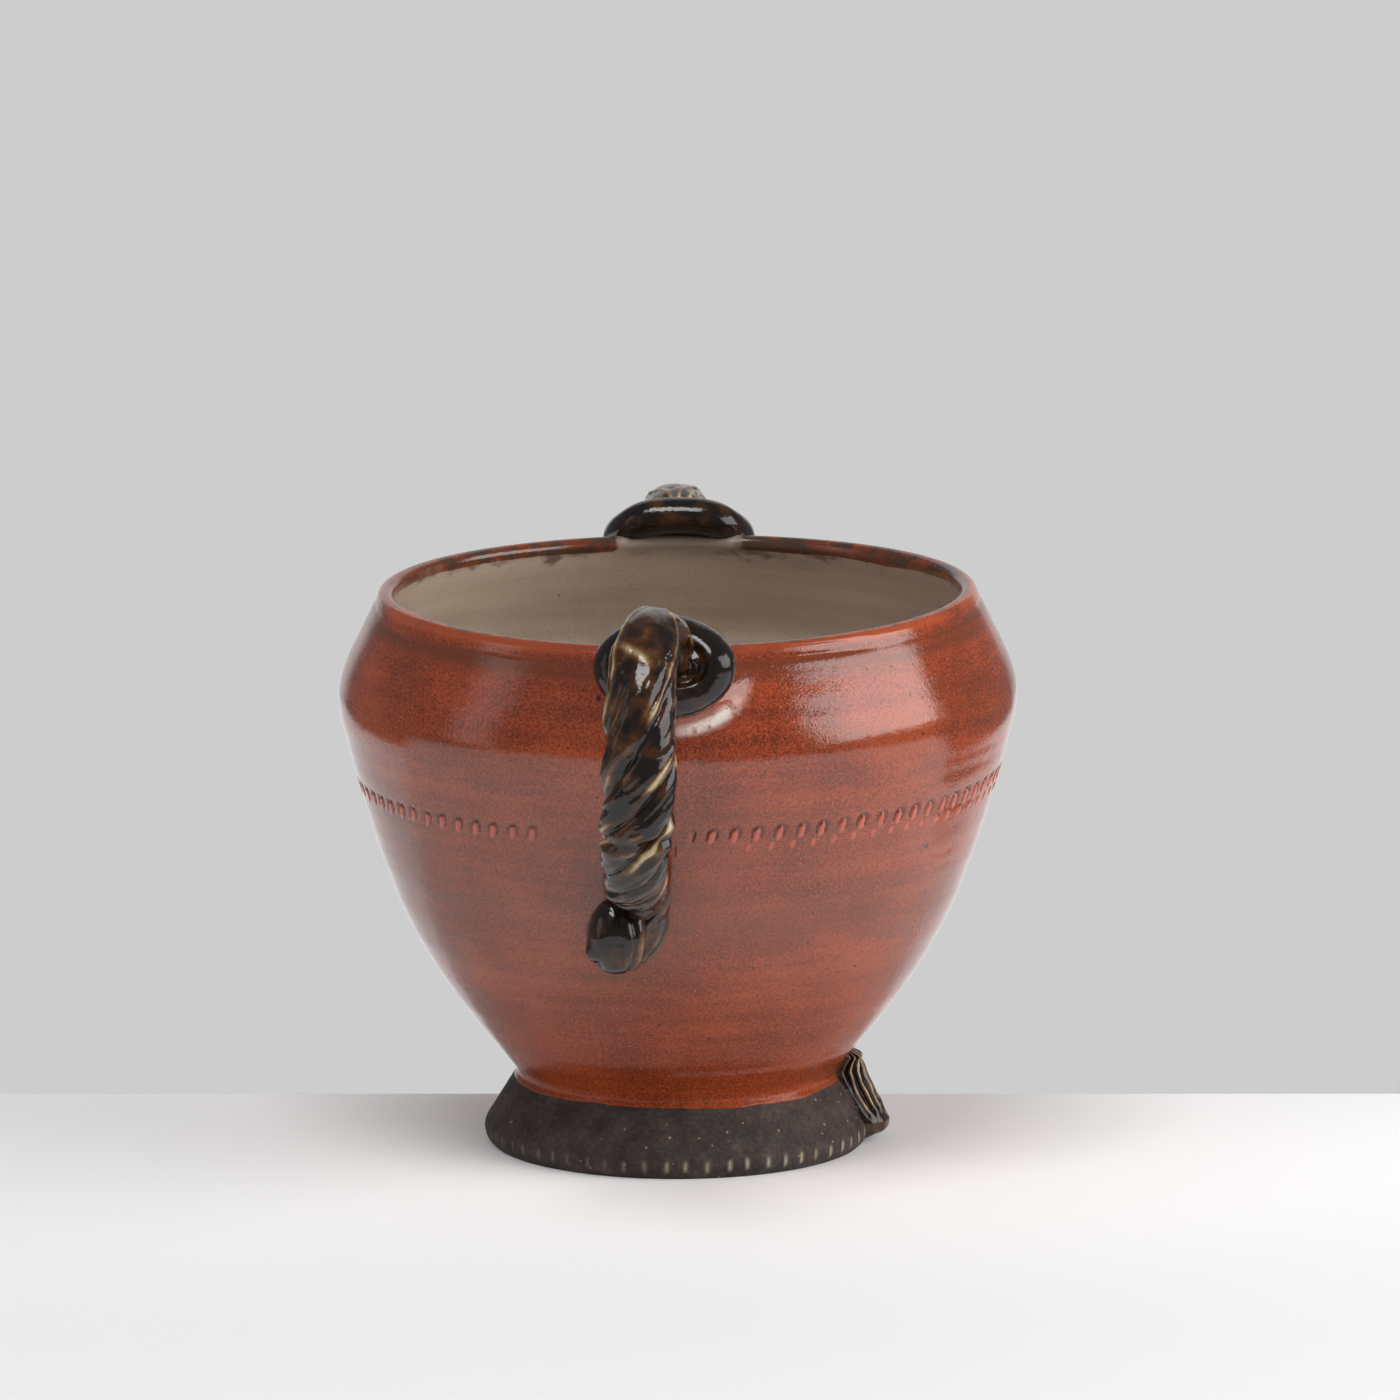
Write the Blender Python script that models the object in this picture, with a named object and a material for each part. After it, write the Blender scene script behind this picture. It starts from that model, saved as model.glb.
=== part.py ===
"""Sipping bowl: a wide-shouldered bowl on a flared foot ring, with two twisted strap handles.

Metres, +Z up. The origin lies on the table at the middle of the foot.
The front handle points along -Y and the strap on the foot along +X.
"""

import math

import bmesh
import bpy
from mathutils import Vector

# Joints: pieces of clay that are stuck together stand this far apart
JOINT_GAP = 0.0003

# Bowl
RIM_RADIUS = 0.0493
RIM_RISE = 0.0187
LIP_THICKNESS = 0.0030
SHOULDER_HEIGHT = 0.0770
SHOULDER_RADIUS = 0.0574
SHOULDER_ROUND = 0.0160
BELLY_LEAN = math.radians(14.6)
BELLY_PULL = 0.52
NECK_HEIGHT = 0.0124
NECK_RADIUS = 0.0270
NECK_LEAN = math.radians(38.8)
NECK_PULL = 0.41
WALL = 0.0040
FLOOR = 0.0055
FLOOR_SWEEP = 0.0080
FLOOR_PULL = 0.70

# Foot ring
FOOT_RADIUS = 0.0327
FOOT_EDGE_HEIGHT = 0.0024
FOOT_EDGE_ROUND = 0.0030
FOOT_WALL = 0.0048
FOOT_BASE_WIDTH = 0.0050

# Ribbed strap pressed over the joint of bowl and foot
STRAP_LAP = 0.0046
STRAP_BOTTOM = 0.0010
STRAP_WIDTH = 0.0120
STRAP_TOP_PROUD = 0.0014
STRAP_BOTTOM_PROUD = 0.0030
STRAP_SIDE = 0.0008
STRAP_RIBS = 7
STRAP_RIB_DEPTH = 0.22

# Collar: a coil of clay laid round the root of each handle
COLLAR_DROP = 0.0042
COLLAR_HOLE_WIDE = 0.0092
COLLAR_HOLE_TALL = 0.0064
COLLAR_SIDE_RADIUS = 0.0036
COLLAR_TOP_RADIUS = 0.0027

# Twisted handle
ROOT_SIDE_SLACK = 0.0006
ROOT_TOP_SLACK = 0.0012
ROOT_PITCH = math.radians(15)
CREST_OUT = 0.0102
ROUTE_PULL = 0.40
DROP_PULL = 0.50
LANDING_PULL = 0.25
HANDLE_REACH = 0.0226
LANDING_DROP = 0.0250
LANDING_RUN = 0.0095
LANDING_DEPTH = 0.0038
LANDING_WIDTH = 0.0090
ROPE_TOP_WIDTH = 0.0122
ROPE_END_WIDTH = 0.0100
ROPE_DEPTH_SHARE = 0.80
TWIST_TURNS = 2.4
TWIST_EASE = 1.8
LOBE_DEPTH = 0.09
EDGE_DEPTH = 0.06

# Knob pressed over the lower end of each handle
KNOB_DROP = 0.0055
KNOB_WIDTH = 0.0116
KNOB_TALL = 0.0140
KNOB_DEEP = 0.0110
KNOB_SINK = 0.0038

# Each handle is set by hand: its bearing, how far it leans aside, its crest over the rim, its knob
FRONT = {
    "name": "front",
    "bearing": math.radians(-92.1),
    "lean": -0.0050,
    "crest": 0.0031,
    "knob_side": -0.0025,
}
BACK = {
    "name": "back",
    "bearing": math.radians(89.7),
    "lean": 0.0020,
    "crest": 0.0012,
    "knob_side": -0.0020,
}

# Heights that follow from these sizes
RIM_HEIGHT = SHOULDER_HEIGHT + RIM_RISE
COLLAR_HEIGHT = RIM_HEIGHT - COLLAR_DROP
LANDING_HEIGHT = SHOULDER_HEIGHT - LANDING_DROP
KNOB_HEIGHT = LANDING_HEIGHT - KNOB_DROP
STRAP_TOP = NECK_HEIGHT + STRAP_LAP

# Facets
TURN_STEPS = 64
BELLY_STEPS = 9
SHOULDER_STEPS = 5
LIP_STEPS = 7
FLOOR_STEPS = 6
EDGE_STEPS = 6
STRAP_BACK_STEPS = 6
STRAP_RIB_STEPS = 4
STRAP_TUCK_STEPS = 3
STRAP_FOOT_STEPS = 6
STRAP_LAP_STEPS = 4
ROPE_SIDES = 20
ROPE_RINGS = 44
COLLAR_STEPS = 32
COLLAR_SIDES = 12
ROUTE_STEPS = 12
KNOB_SIDES = 24
KNOB_TIERS = 14
WELD = 0.000001


def mix(start, end, share):
    return start + (end - start) * share


def smooth(share):
    """Share eased at both ends and held between 0 and 1."""
    share = min(1.0, max(0.0, share))
    return share * share * (3.0 - 2.0 * share)


def heading(angle):
    """Unit vector in the (radius, height) plane, at this angle above level."""
    return Vector((math.cos(angle), math.sin(angle)))


def arc(centre, radius, start, end, steps):
    return [centre + radius * heading(mix(start, end, i / steps)) for i in range(steps + 1)]


def bezier(start, pull_start, pull_end, end, steps):
    points = []
    for i in range(steps + 1):
        t = i / steps
        s = 1.0 - t
        points.append(s**3 * start + 3 * s * s * t * pull_start + 3 * s * t * t * pull_end + t**3 * end)
    return points


def tangent_angle(first, first_radius, second, second_radius):
    """Angle of the normal of the line that touches both circles on their outer side.

    A negative second radius gives the line that crosses between the circles.
    """
    span = second - first
    return math.atan2(span.y, span.x) - math.acos((first_radius - second_radius) / span.length)


def offset_inward(points, distance):
    """The line moved to the left of its run, towards the axis for a line that climbs."""
    moved = []
    for i, point in enumerate(points):
        run = (points[min(i + 1, len(points) - 1)] - points[max(i - 1, 0)]).normalized()
        moved.append(point + distance * Vector((-run.y, run.x)))
    return moved


# Lines of the bowl and the foot in the (radius, height) plane
LIP_RADIUS = LIP_THICKNESS / 2
SHOULDER_MIDDLE = Vector((SHOULDER_RADIUS - SHOULDER_ROUND, SHOULDER_HEIGHT))
LIP_MIDDLE = Vector((RIM_RADIUS, RIM_HEIGHT - LIP_RADIUS))
OUTER_ANGLE = tangent_angle(SHOULDER_MIDDLE, SHOULDER_ROUND, LIP_MIDDLE, LIP_RADIUS)
INNER_ANGLE = tangent_angle(SHOULDER_MIDDLE, SHOULDER_ROUND - WALL, LIP_MIDDLE, -LIP_RADIUS)


def belly_line(steps):
    """Outer wall from the neck up to the start of the shoulder."""
    neck = Vector((NECK_RADIUS, NECK_HEIGHT))
    top = SHOULDER_MIDDLE + SHOULDER_ROUND * heading(-BELLY_LEAN)
    chord = (top - neck).length
    pull_neck = neck + chord * NECK_PULL * heading(math.pi / 2 - NECK_LEAN)
    pull_top = top - chord * BELLY_PULL * heading(math.pi / 2 - BELLY_LEAN)
    return bezier(neck, pull_neck, pull_top, top, steps)


def outer_line():
    """Outer wall from the neck to the outer side of the lip."""
    shoulder = arc(SHOULDER_MIDDLE, SHOULDER_ROUND, -BELLY_LEAN, OUTER_ANGLE, SHOULDER_STEPS)
    return belly_line(BELLY_STEPS) + shoulder[1:] + [LIP_MIDDLE + LIP_RADIUS * heading(OUTER_ANGLE)]


def inner_line():
    """Inner wall from the inner side of the lip down to the middle of the floor."""
    shoulder = arc(SHOULDER_MIDDLE, SHOULDER_ROUND - WALL, INNER_ANGLE, -BELLY_LEAN, SHOULDER_STEPS)
    floor_top = NECK_HEIGHT + FLOOR
    belly = offset_inward(belly_line(BELLY_STEPS), WALL)
    wall = [point for point in belly if point.y > floor_top + FLOOR_SWEEP]
    bend = Vector(((belly[0].x + wall[0].x) / 2, floor_top))
    floor = bezier(wall[0], mix(wall[0], bend, FLOOR_PULL), bend, Vector((0.0, floor_top)), FLOOR_STEPS)
    return shoulder + wall[-2::-1] + floor[1:]


def foot_line():
    """Outer side of the foot ring from the table to its top."""
    edge = Vector((FOOT_RADIUS - FOOT_EDGE_ROUND, FOOT_EDGE_HEIGHT))
    top = Vector((NECK_RADIUS, NECK_HEIGHT - JOINT_GAP))
    flare = tangent_angle(edge, FOOT_EDGE_ROUND, top, 0.0)
    low = -math.asin(FOOT_EDGE_HEIGHT / FOOT_EDGE_ROUND)
    return arc(edge, FOOT_EDGE_ROUND, low, flare, EDGE_STEPS) + [top]


def line_at(points, height):
    """Point of a climbing line at this height, with the line's outward normal there."""
    for low, high in zip(points, points[1:]):
        if height <= high.y or high is points[-1]:
            run = high - low
            point = low + run * ((height - low.y) / run.y)
            return point, Vector((run.y, -run.x)).normalized()


OUTER_LINE = outer_line()
FOOT_LINE = foot_line()


def surface_radius(height):
    """Outer radius of the bowl, or of the foot below the neck."""
    line = OUTER_LINE if height >= NECK_HEIGHT else FOOT_LINE
    return line_at(line, height)[0].x


def finish(name, mesh, colour, roughness):
    """Makes a named object of a bmesh, with its own glaze or clay."""
    bmesh.ops.recalc_face_normals(mesh, faces=mesh.faces)
    data = bpy.data.meshes.new(name)
    mesh.to_mesh(data)
    mesh.free()
    data.shade_smooth()
    data.set_sharp_from_angle(angle=math.radians(50))
    material = bpy.data.materials.new(name)
    material.use_nodes = True
    shader = material.node_tree.nodes["Principled BSDF"]
    shader.inputs["Base Color"].default_value = (*colour, 1.0)
    shader.inputs["Roughness"].default_value = roughness
    shader.inputs["Metallic"].default_value = 0.0
    data.materials.append(material)
    made = bpy.data.objects.new(name, data)
    bpy.context.scene.collection.objects.link(made)
    return made


def lathe(line, closed=False):
    """Turns (radius, height) points about the Z axis."""
    mesh = bmesh.new()
    points = [mesh.verts.new((point.x, 0.0, point.y)) for point in line]
    edges = [mesh.edges.new(pair) for pair in zip(points, points[1:])]
    if closed:
        edges.append(mesh.edges.new((points[-1], points[0])))
    bmesh.ops.spin(
        mesh,
        geom=points + edges,
        cent=(0.0, 0.0, 0.0),
        axis=(0.0, 0.0, 1.0),
        angle=math.tau,
        steps=TURN_STEPS,
        use_merge=True,
    )
    bmesh.ops.remove_doubles(mesh, verts=mesh.verts, dist=WELD)
    return mesh


def loft(rings, closed=False):
    """Joins rings of equally many points, with capped ends unless the run is closed."""
    mesh = bmesh.new()
    loops = [[mesh.verts.new(point) for point in ring] for ring in rings]
    if closed:
        loops.append(loops[0])
    else:
        mesh.faces.new(loops[0])
        mesh.faces.new(loops[-1])
    for low, high in zip(loops, loops[1:]):
        for i in range(len(low)):
            mesh.faces.new((low[i - 1], low[i], high[i], high[i - 1]))
    return mesh


def build_bowl():
    lip = arc(LIP_MIDDLE, LIP_RADIUS, OUTER_ANGLE, math.pi + INNER_ANGLE, LIP_STEPS)
    line = [Vector((0.0, NECK_HEIGHT))] + OUTER_LINE + lip[1:] + inner_line()
    return finish("bowl", lathe(line), (0.36, 0.055, 0.022), 0.12)


def build_foot_ring():
    top = NECK_HEIGHT - JOINT_GAP
    inner = [
        Vector((NECK_RADIUS - FOOT_WALL, top)),
        Vector((FOOT_LINE[0].x - FOOT_BASE_WIDTH, 0.0)),
    ]
    return finish("foot_ring", lathe(FOOT_LINE + inner, closed=True), (0.045, 0.031, 0.026), 0.75)


def strap_section(height, crest):
    """Level outline of the foot strap: its back on bowl and foot, its ribs out to the crest radius."""
    back = surface_radius(height) + JOINT_GAP
    half = STRAP_WIDTH / 2 / back
    swell = crest - back - STRAP_SIDE
    polar = [(half * mix(1, -1, i / STRAP_BACK_STEPS), back) for i in range(STRAP_BACK_STEPS + 1)]
    steps = STRAP_RIBS * STRAP_RIB_STEPS
    for i in range(steps + 1):
        across = mix(-1.0, 1.0, i / steps)
        groove = STRAP_RIB_DEPTH * (0.5 + 0.5 * math.cos(math.tau * STRAP_RIBS * i / steps))
        rise = math.sqrt(1.0 - across * across) * (1.0 - groove)
        polar.append((half * across, back + STRAP_SIDE + swell * rise))
    return [Vector((r * math.cos(a), r * math.sin(a), height)) for a, r in polar]


def build_foot_strap():
    """The crest of the strap runs straight from the bowl's wall to the edge of the foot."""
    low = surface_radius(FOOT_EDGE_HEIGHT) + STRAP_BOTTOM_PROUD
    high = surface_radius(STRAP_TOP) + STRAP_TOP_PROUD
    heights = [mix(STRAP_BOTTOM, FOOT_EDGE_HEIGHT, i / STRAP_TUCK_STEPS) for i in range(STRAP_TUCK_STEPS)]
    heights += [mix(FOOT_EDGE_HEIGHT, NECK_HEIGHT, i / STRAP_FOOT_STEPS) for i in range(STRAP_FOOT_STEPS)]
    heights += [mix(NECK_HEIGHT, STRAP_TOP, i / STRAP_LAP_STEPS) for i in range(STRAP_LAP_STEPS + 1)]
    rings = []
    for height in heights:
        share = (height - FOOT_EDGE_HEIGHT) / (STRAP_TOP - FOOT_EDGE_HEIGHT)
        tuck = (1.0 - height / FOOT_EDGE_HEIGHT) * STRAP_BOTTOM_PROUD / 2 if share < 0.0 else 0.0
        rings.append(strap_section(height, mix(low, high, max(share, 0.0)) - tuck))
    return finish("foot_strap", loft(rings), (0.060, 0.036, 0.016), 0.2)


def place(handle, out, side, up):
    """World point of a handle's own (out, side, up)."""
    turn = handle["bearing"]
    return Vector((
        out * math.cos(turn) - side * math.sin(turn),
        out * math.sin(turn) + side * math.cos(turn),
        up,
    ))


def build_collar(handle):
    """A ring of coil bent round the wall, over the lip at its top."""
    foot, normal = line_at(OUTER_LINE, COLLAR_HEIGHT)
    along = Vector((-normal.y, normal.x))
    tall = COLLAR_HOLE_TALL / 2 + COLLAR_TOP_RADIUS
    straight = COLLAR_HOLE_WIDE / 2 + COLLAR_SIDE_RADIUS - tall
    rings = []
    for i in range(COLLAR_STEPS):
        turn = math.tau * i / COLLAR_STEPS
        radius = mix(COLLAR_SIDE_RADIUS, COLLAR_TOP_RADIUS, math.sin(turn) ** 2)
        bend = math.copysign(straight, math.cos(turn)) if abs(math.cos(turn)) > WELD else 0.0
        ring = []
        for j in range(COLLAR_SIDES):
            around = math.tau * j / COLLAR_SIDES
            reach = radius * math.cos(around)
            side = bend + (tall + reach) * math.cos(turn)
            climb = (tall + reach) * math.sin(turn)
            point = foot + along * climb + normal * (JOINT_GAP + radius + radius * math.sin(around))
            swing = side / foot.x
            ring.append(place(handle, point.x * math.cos(swing), point.x * math.sin(swing), point.y))
        rings.append(ring)
    name = handle["name"] + "_handle_collar"
    return finish(name, loft(rings, closed=True), (0.022, 0.012, 0.006), 0.08)


ROOT_HALF_WIDE = COLLAR_HOLE_WIDE / 2 - ROOT_SIDE_SLACK
ROOT_HALF_DEEP = COLLAR_HOLE_TALL / 2 - ROOT_TOP_SLACK


def rope_route(handle):
    """Middle line of the twisted strap in (out, up), with its marks.

    The marks are lengths along it: to the collar's face, the crest, where it flattens and where it lands.
    """
    foot, normal = line_at(OUTER_LINE, COLLAR_HEIGHT)
    along = Vector((-normal.y, normal.x))
    depth = 2 * COLLAR_TOP_RADIUS + JOINT_GAP
    pitch = heading(math.atan2(normal.y, normal.x) + ROOT_PITCH)
    tilt = ROOT_HALF_DEEP * math.sin(ROOT_PITCH)
    start = foot + normal * (JOINT_GAP + tilt) - along * (math.tan(ROOT_PITCH) * depth / 2)
    face = start + pitch * (depth / math.cos(ROOT_PITCH))
    crest = Vector((foot.x + CREST_OUT, RIM_HEIGHT + handle["crest"]))
    far = Vector((SHOULDER_RADIUS + HANDLE_REACH, SHOULDER_HEIGHT))
    rise = (crest - face).length
    lift = rise * ROUTE_PULL
    root = [start] + bezier(face, face + pitch * lift, crest - Vector((lift, 0)), crest, ROUTE_STEPS)
    over = []
    for i in range(1, ROUTE_STEPS + 1):
        turn = heading(math.pi / 2 * (1 - i / ROUTE_STEPS))
        over.append(Vector((mix(crest.x, far.x, turn.x), mix(far.y, crest.y, turn.y))))
    landing = []
    for i in range(ROUTE_STEPS + 1):
        wall, out = line_at(OUTER_LINE, LANDING_HEIGHT - LANDING_RUN * i / ROUTE_STEPS)
        landing.append(wall + out * (JOINT_GAP + LANDING_DEPTH / 2))
    fall = (landing[0] - far).length
    into = (landing[0] - landing[1]).normalized()
    drop = Vector((0, fall * DROP_PULL))
    back = bezier(far, far - drop, landing[0] + into * fall * LANDING_PULL, landing[0], ROUTE_STEPS)
    release = run_length(root + over + back[1 : ROUTE_STEPS // 2])
    landed = run_length(root + over + back[1:])
    marks = (run_length(root[:2]), run_length(root), release, landed)
    return root + over + back[1:] + landing[1:], marks


def run_length(points):
    return sum((high - low).length for low, high in zip(points, points[1:]))


def point_along(points, length):
    for low, high in zip(points, points[1:]):
        step = (high - low).length
        if length <= step or high is points[-1]:
            return low + (high - low) * (length / step)
        length -= step


def rope_stations(handle):
    """Stations along the strap, flat at its root and its landing and swollen between them.

    Each holds its middle, its two cross directions with their half sizes, its swell and its twist.
    """
    route, (face, crest, release, landed) = rope_route(handle)
    total = run_length(route)
    middle = []
    for i in range(ROPE_RINGS + 1):
        length = total * i / ROPE_RINGS
        point = point_along(route, length)
        lean = handle["lean"] * math.sin(math.pi / 2 * max(0.0, length - face) / (total - face))
        middle.append(Vector((point.x, lean, point.y)))
    stations = []
    for i, point in enumerate(middle):
        length = total * i / ROPE_RINGS
        run = (middle[min(i + 1, ROPE_RINGS)] - middle[max(i - 1, 0)]).normalized()
        across = (Vector((0, 1, 0)) - run * run.y).normalized()
        swell = smooth((length - face) / (crest - face))
        press = smooth((length - release) / (landed - release))
        full = mix(ROPE_TOP_WIDTH, ROPE_END_WIDTH, length / total) / 2
        stations.append({
            "middle": point,
            "across": across,
            "outward": run.cross(across),
            "wide": mix(mix(ROOT_HALF_WIDE, full, swell), LANDING_WIDTH / 2, press),
            "deep": mix(mix(ROOT_HALF_DEEP, full * ROPE_DEPTH_SHARE, swell), LANDING_DEPTH / 2, press),
            "swell": swell * (1.0 - press),
            "twist": math.tau * TWIST_TURNS * (length / total) ** TWIST_EASE,
            "press": press,
        })
    return stations


def build_rope(handle):
    """The twisted strap: four lobes that turn about its middle line."""
    rings = []
    for station in rope_stations(handle):
        ring = []
        for j in range(ROPE_SIDES):
            around = math.tau * j / ROPE_SIDES
            lobe = LOBE_DEPTH * math.cos(4 * around) + EDGE_DEPTH * math.cos(2 * around)
            size = 1.0 + station["swell"] * lobe
            turn = around + station["twist"]
            at = station["middle"] + station["across"] * (station["wide"] * size * math.cos(turn))
            at += station["outward"] * (station["deep"] * size * math.sin(turn))
            ring.append(place(handle, *at))
        rings.append(ring)
    return finish(handle["name"] + "_handle_rope", loft(rings), (0.040, 0.020, 0.008), 0.1)


def strap_faces(handle, middle):
    """Planes on the side of the strap's landing that faces the knob, one joint gap off it."""
    planes = []
    for station in rope_stations(handle):
        normal = station["outward"]
        deep = station["deep"] * (1.0 + station["swell"] * (LOBE_DEPTH + EDGE_DEPTH)) + JOINT_GAP
        point = station["middle"] + normal * deep
        if station["press"] > 0.0 and normal.dot(middle - point) > 0.0:
            planes.append((point, normal))
    return planes


def build_knob(handle):
    """A pellet pressed into the corner where the strap lands, flat where it meets the strap."""
    wall, out = line_at(OUTER_LINE, KNOB_HEIGHT)
    seat = wall + out * (2 * JOINT_GAP + LANDING_DEPTH + KNOB_DEEP / 2 - KNOB_SINK)
    middle = Vector((seat.x, handle["lean"] + handle["knob_side"], seat.y))
    planes = strap_faces(handle, middle)
    mesh = bmesh.new()
    bmesh.ops.create_uvsphere(mesh, u_segments=KNOB_SIDES, v_segments=KNOB_TIERS, radius=0.5)
    bmesh.ops.scale(mesh, vec=(KNOB_DEEP, KNOB_WIDTH, KNOB_TALL), verts=mesh.verts)
    for vert in mesh.verts:
        share = 1.0
        for point, normal in planes:
            towards = -normal.dot(vert.co)
            if towards > 0.0:
                share = min(share, normal.dot(middle - point) / towards)
        vert.co = place(handle, *(middle + vert.co * share))
    return finish(handle["name"] + "_handle_knob", mesh, (0.025, 0.013, 0.006), 0.06)


for old in list(bpy.data.objects):
    bpy.data.objects.remove(old)

build_bowl()
build_foot_ring()
build_foot_strap()
for one in (FRONT, BACK):
    build_collar(one)
    build_rope(one)
    build_knob(one)
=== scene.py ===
"""Visual model of the sipping bowl: glazed bowl, bare foot and twisted handles, on a studio table.

The CAD frame gives the overall sizes, and each CAD node is replaced by a finer mesh of the same piece.
Metres, +Z up. The front handle points along -Y. Azimuth runs from the front (0) towards +X (90 degrees).
"""

import math

import bpy
import numpy as np
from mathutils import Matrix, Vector


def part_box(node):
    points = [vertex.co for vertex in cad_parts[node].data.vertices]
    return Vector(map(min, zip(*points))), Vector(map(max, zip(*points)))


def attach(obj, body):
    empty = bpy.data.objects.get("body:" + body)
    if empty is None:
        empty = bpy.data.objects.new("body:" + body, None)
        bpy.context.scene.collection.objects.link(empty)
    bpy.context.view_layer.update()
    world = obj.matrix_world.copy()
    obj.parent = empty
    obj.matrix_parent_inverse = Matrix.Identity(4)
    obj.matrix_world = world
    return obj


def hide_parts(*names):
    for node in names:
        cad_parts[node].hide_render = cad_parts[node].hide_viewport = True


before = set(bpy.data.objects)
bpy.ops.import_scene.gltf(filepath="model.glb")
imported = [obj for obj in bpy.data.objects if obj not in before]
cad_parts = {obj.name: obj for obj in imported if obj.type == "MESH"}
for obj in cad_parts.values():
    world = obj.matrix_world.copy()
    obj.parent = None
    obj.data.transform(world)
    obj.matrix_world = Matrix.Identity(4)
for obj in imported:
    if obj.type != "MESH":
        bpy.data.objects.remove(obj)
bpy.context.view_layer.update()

# Bowl and foot, as in the CAD model
bowl_low, bowl_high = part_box("bowl")
foot_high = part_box("foot_ring")[1]
RIM_HEIGHT = bowl_high[2]
SHOULDER_RADIUS = bowl_high[0]
NECK_HEIGHT = bowl_low[2]
FOOT_RADIUS = foot_high[0]
RIM_RADIUS = 0.0493
LIP_RADIUS = 0.0015
SHOULDER_HEIGHT = 0.0770
SHOULDER_ROUND = 0.0160
BELLY_LEAN = math.radians(14.6)
BELLY_PULL = 0.52
NECK_RADIUS = 0.0270
NECK_LEAN = math.radians(38.8)
NECK_PULL = 0.41
WALL = 0.0040
FLOOR = 0.0055
FLOOR_ROUND = 0.0080
FLOOR_BEND = 0.0014
FOOT_EDGE_HEIGHT = 0.0024
FOOT_EDGE_ROUND = 0.0030
FOOT_WALL = 0.0048
FOOT_BASE_WIDTH = 0.0050

# Small rings that close the bowl's mesh in the middle of its floor, and rings underneath it
FLOOR_HOLE = 0.0004
UNDERSIDE_RINGS = (0.0005, 0.010, NECK_RADIUS - FOOT_WALL - 0.001, NECK_RADIUS - 0.0005)
UNDERSIDE_DROP = 0.00005

# Hand-made unevenness of the bowl
RIM_DIP = 0.0006
RIM_TILT = 0.0095
THROWING_DEPTH = 0.00007
THROWING_RISE = 0.0028
THROWING_SIZES = (0.0031, 0.0013)
DENT_DEPTH = 0.00035
DENT_SIZE = 0.022

# Groove under the lip
GROOVE_BELOW = 0.0025
GROOVE_WAVE = 0.0002
GROOVE_DEPTH = 0.00022
GROOVE_WIDTH = 0.00045

# Red glaze where it runs out over the foot
GLAZE_EDGE = 0.0112
GLAZE_EDGE_WAVES = (0.0004, 0.0002)
GLAZE_THICKNESS = 0.00022
BEAD_HEIGHT = 0.00030
BEAD_SINK = 0.00034
SKIRT_BLEND = 0.0014
SKIRT_TOP = 0.0178

# Stamped band; the places where it stops, starts and has a lower row are azimuths in degrees
BAND_HEIGHT = 0.0637
BAND_TILT = 0.0011
BAND_ABOVE = 0.0018
BAND_BELOW = 0.0036
BAND_STOPS = (-25.0, -22.5)
BAND_STARTS = (1.0, 4.0)
LOW_ROW_STARTS = (9.0, 14.0)
LOW_ROW_STOPS = (120.0, 140.0)
STAMP_COUNT = 88
STAMP_RADIUS = 0.00085
STAMP_RISE = 0.0004
STAMP_LEG = 0.0008
STAMP_SPLAY = 0.15
STAMP_SLANT = 0.18
STAMP_WIDTH = 0.00030
STAMP_DEPTH = 0.00036
STAMP_JITTER = 0.00010
TONGUE_HALF = (0.00066, 0.00130)
TONGUE_DROP = 0.0003
TONGUE_RISE = 0.4
LOW_TONGUE_HALF = (0.00052, 0.00085)
LOW_TONGUE_SHIFT = (0.0010, 0.0024)

# Nicks along the foot's edge, and the clay's own roughness: (height, size across)
NICK_COUNT = 58
NICK_HEIGHT = 0.0022
NICK_WAVE = 0.0002
NICK_WIDTH = 0.00030
NICK_LENGTH = 0.0009
NICK_DEPTH = 0.00030
FINE_ROUGHNESS = (0.00006, 0.0016)
COARSE_ROUGHNESS = (0.00010, 0.006)
ROUGH_ABOVE = (0.0002, 0.0012)

# Strap over the joint of bowl and foot
STRAP_BASE = 0.0006
STRAP_BULGE = 0.0037
STRAP_TOP = 0.0160
STRAP_OUT = 0.0034
STRAP_TOP_OUT = 0.0006
STRAP_TUCK = 0.0020
STRAP_HALF = 0.0060
STRAP_TAPER = 0.0018
STRAP_SINK = 0.0006
STRAP_SWAY = 0.0004
STRAP_CURL = 0.0008
STRAP_LUMPS = 0.00018
STRAP_RIBS = 10
RIB_DEPTH = 0.0008

# Collars of the handles, and the slip in their joint; its inner edge and reach are shares of the collar
COLLAR_HEIGHT = 0.0915
COIL_RADIUS = 0.0037
COIL_SIDE_MORE = 0.0004
COIL_WAVE = 0.0003
COIL_STAND = 0.85
LIP_BEND = 0.0080
FILLET_HEIGHT = 0.0026
FILLET_INNER = 0.85
FILLET_REACH = 1.36

# Twisted straps of the handles: half sizes of the crest, the twist below it, the root and the flat end
ROPE_HALF = 0.0052
CREST_MORE = 0.0006
TWIST_LESS = 0.0012
ROOT_MORE = (0.0026, 0.0010)
END_HALF = (0.0036, 0.0021)
ROPE_FLATNESS = 0.83
ROPE_SWAY = 0.0003
LOBES = 4
LOBE_DEPTH = 0.32

# Route of a strap from its root to its lower end: (out, up, share of the crest's own lift)
ROPE_ROUTE = (
    (0.0525, 0.0925, 0.0),
    (0.0562, 0.0962, 0.6),
    (0.0612, 0.0995, 1.0),
    (0.0695, 0.0975, 0.8),
    (0.0768, 0.0897, 0.4),
    (0.0800, 0.0775, 0.0),
    (0.0777, 0.0660, 0.0),
    (0.0700, 0.0592, 0.0),
    (0.0612, 0.0562, 0.0),
    (0.0550, 0.0515, 0.0),
    (0.0522, 0.0462, 0.0),
    (0.0503, 0.0425, 0.0),
)

# Places along a strap, as shares of its length
FLAT_END = (0.82, 0.95)
TUCK_SHARE = 0.245
PINCH_SHARE = 0.557

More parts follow.
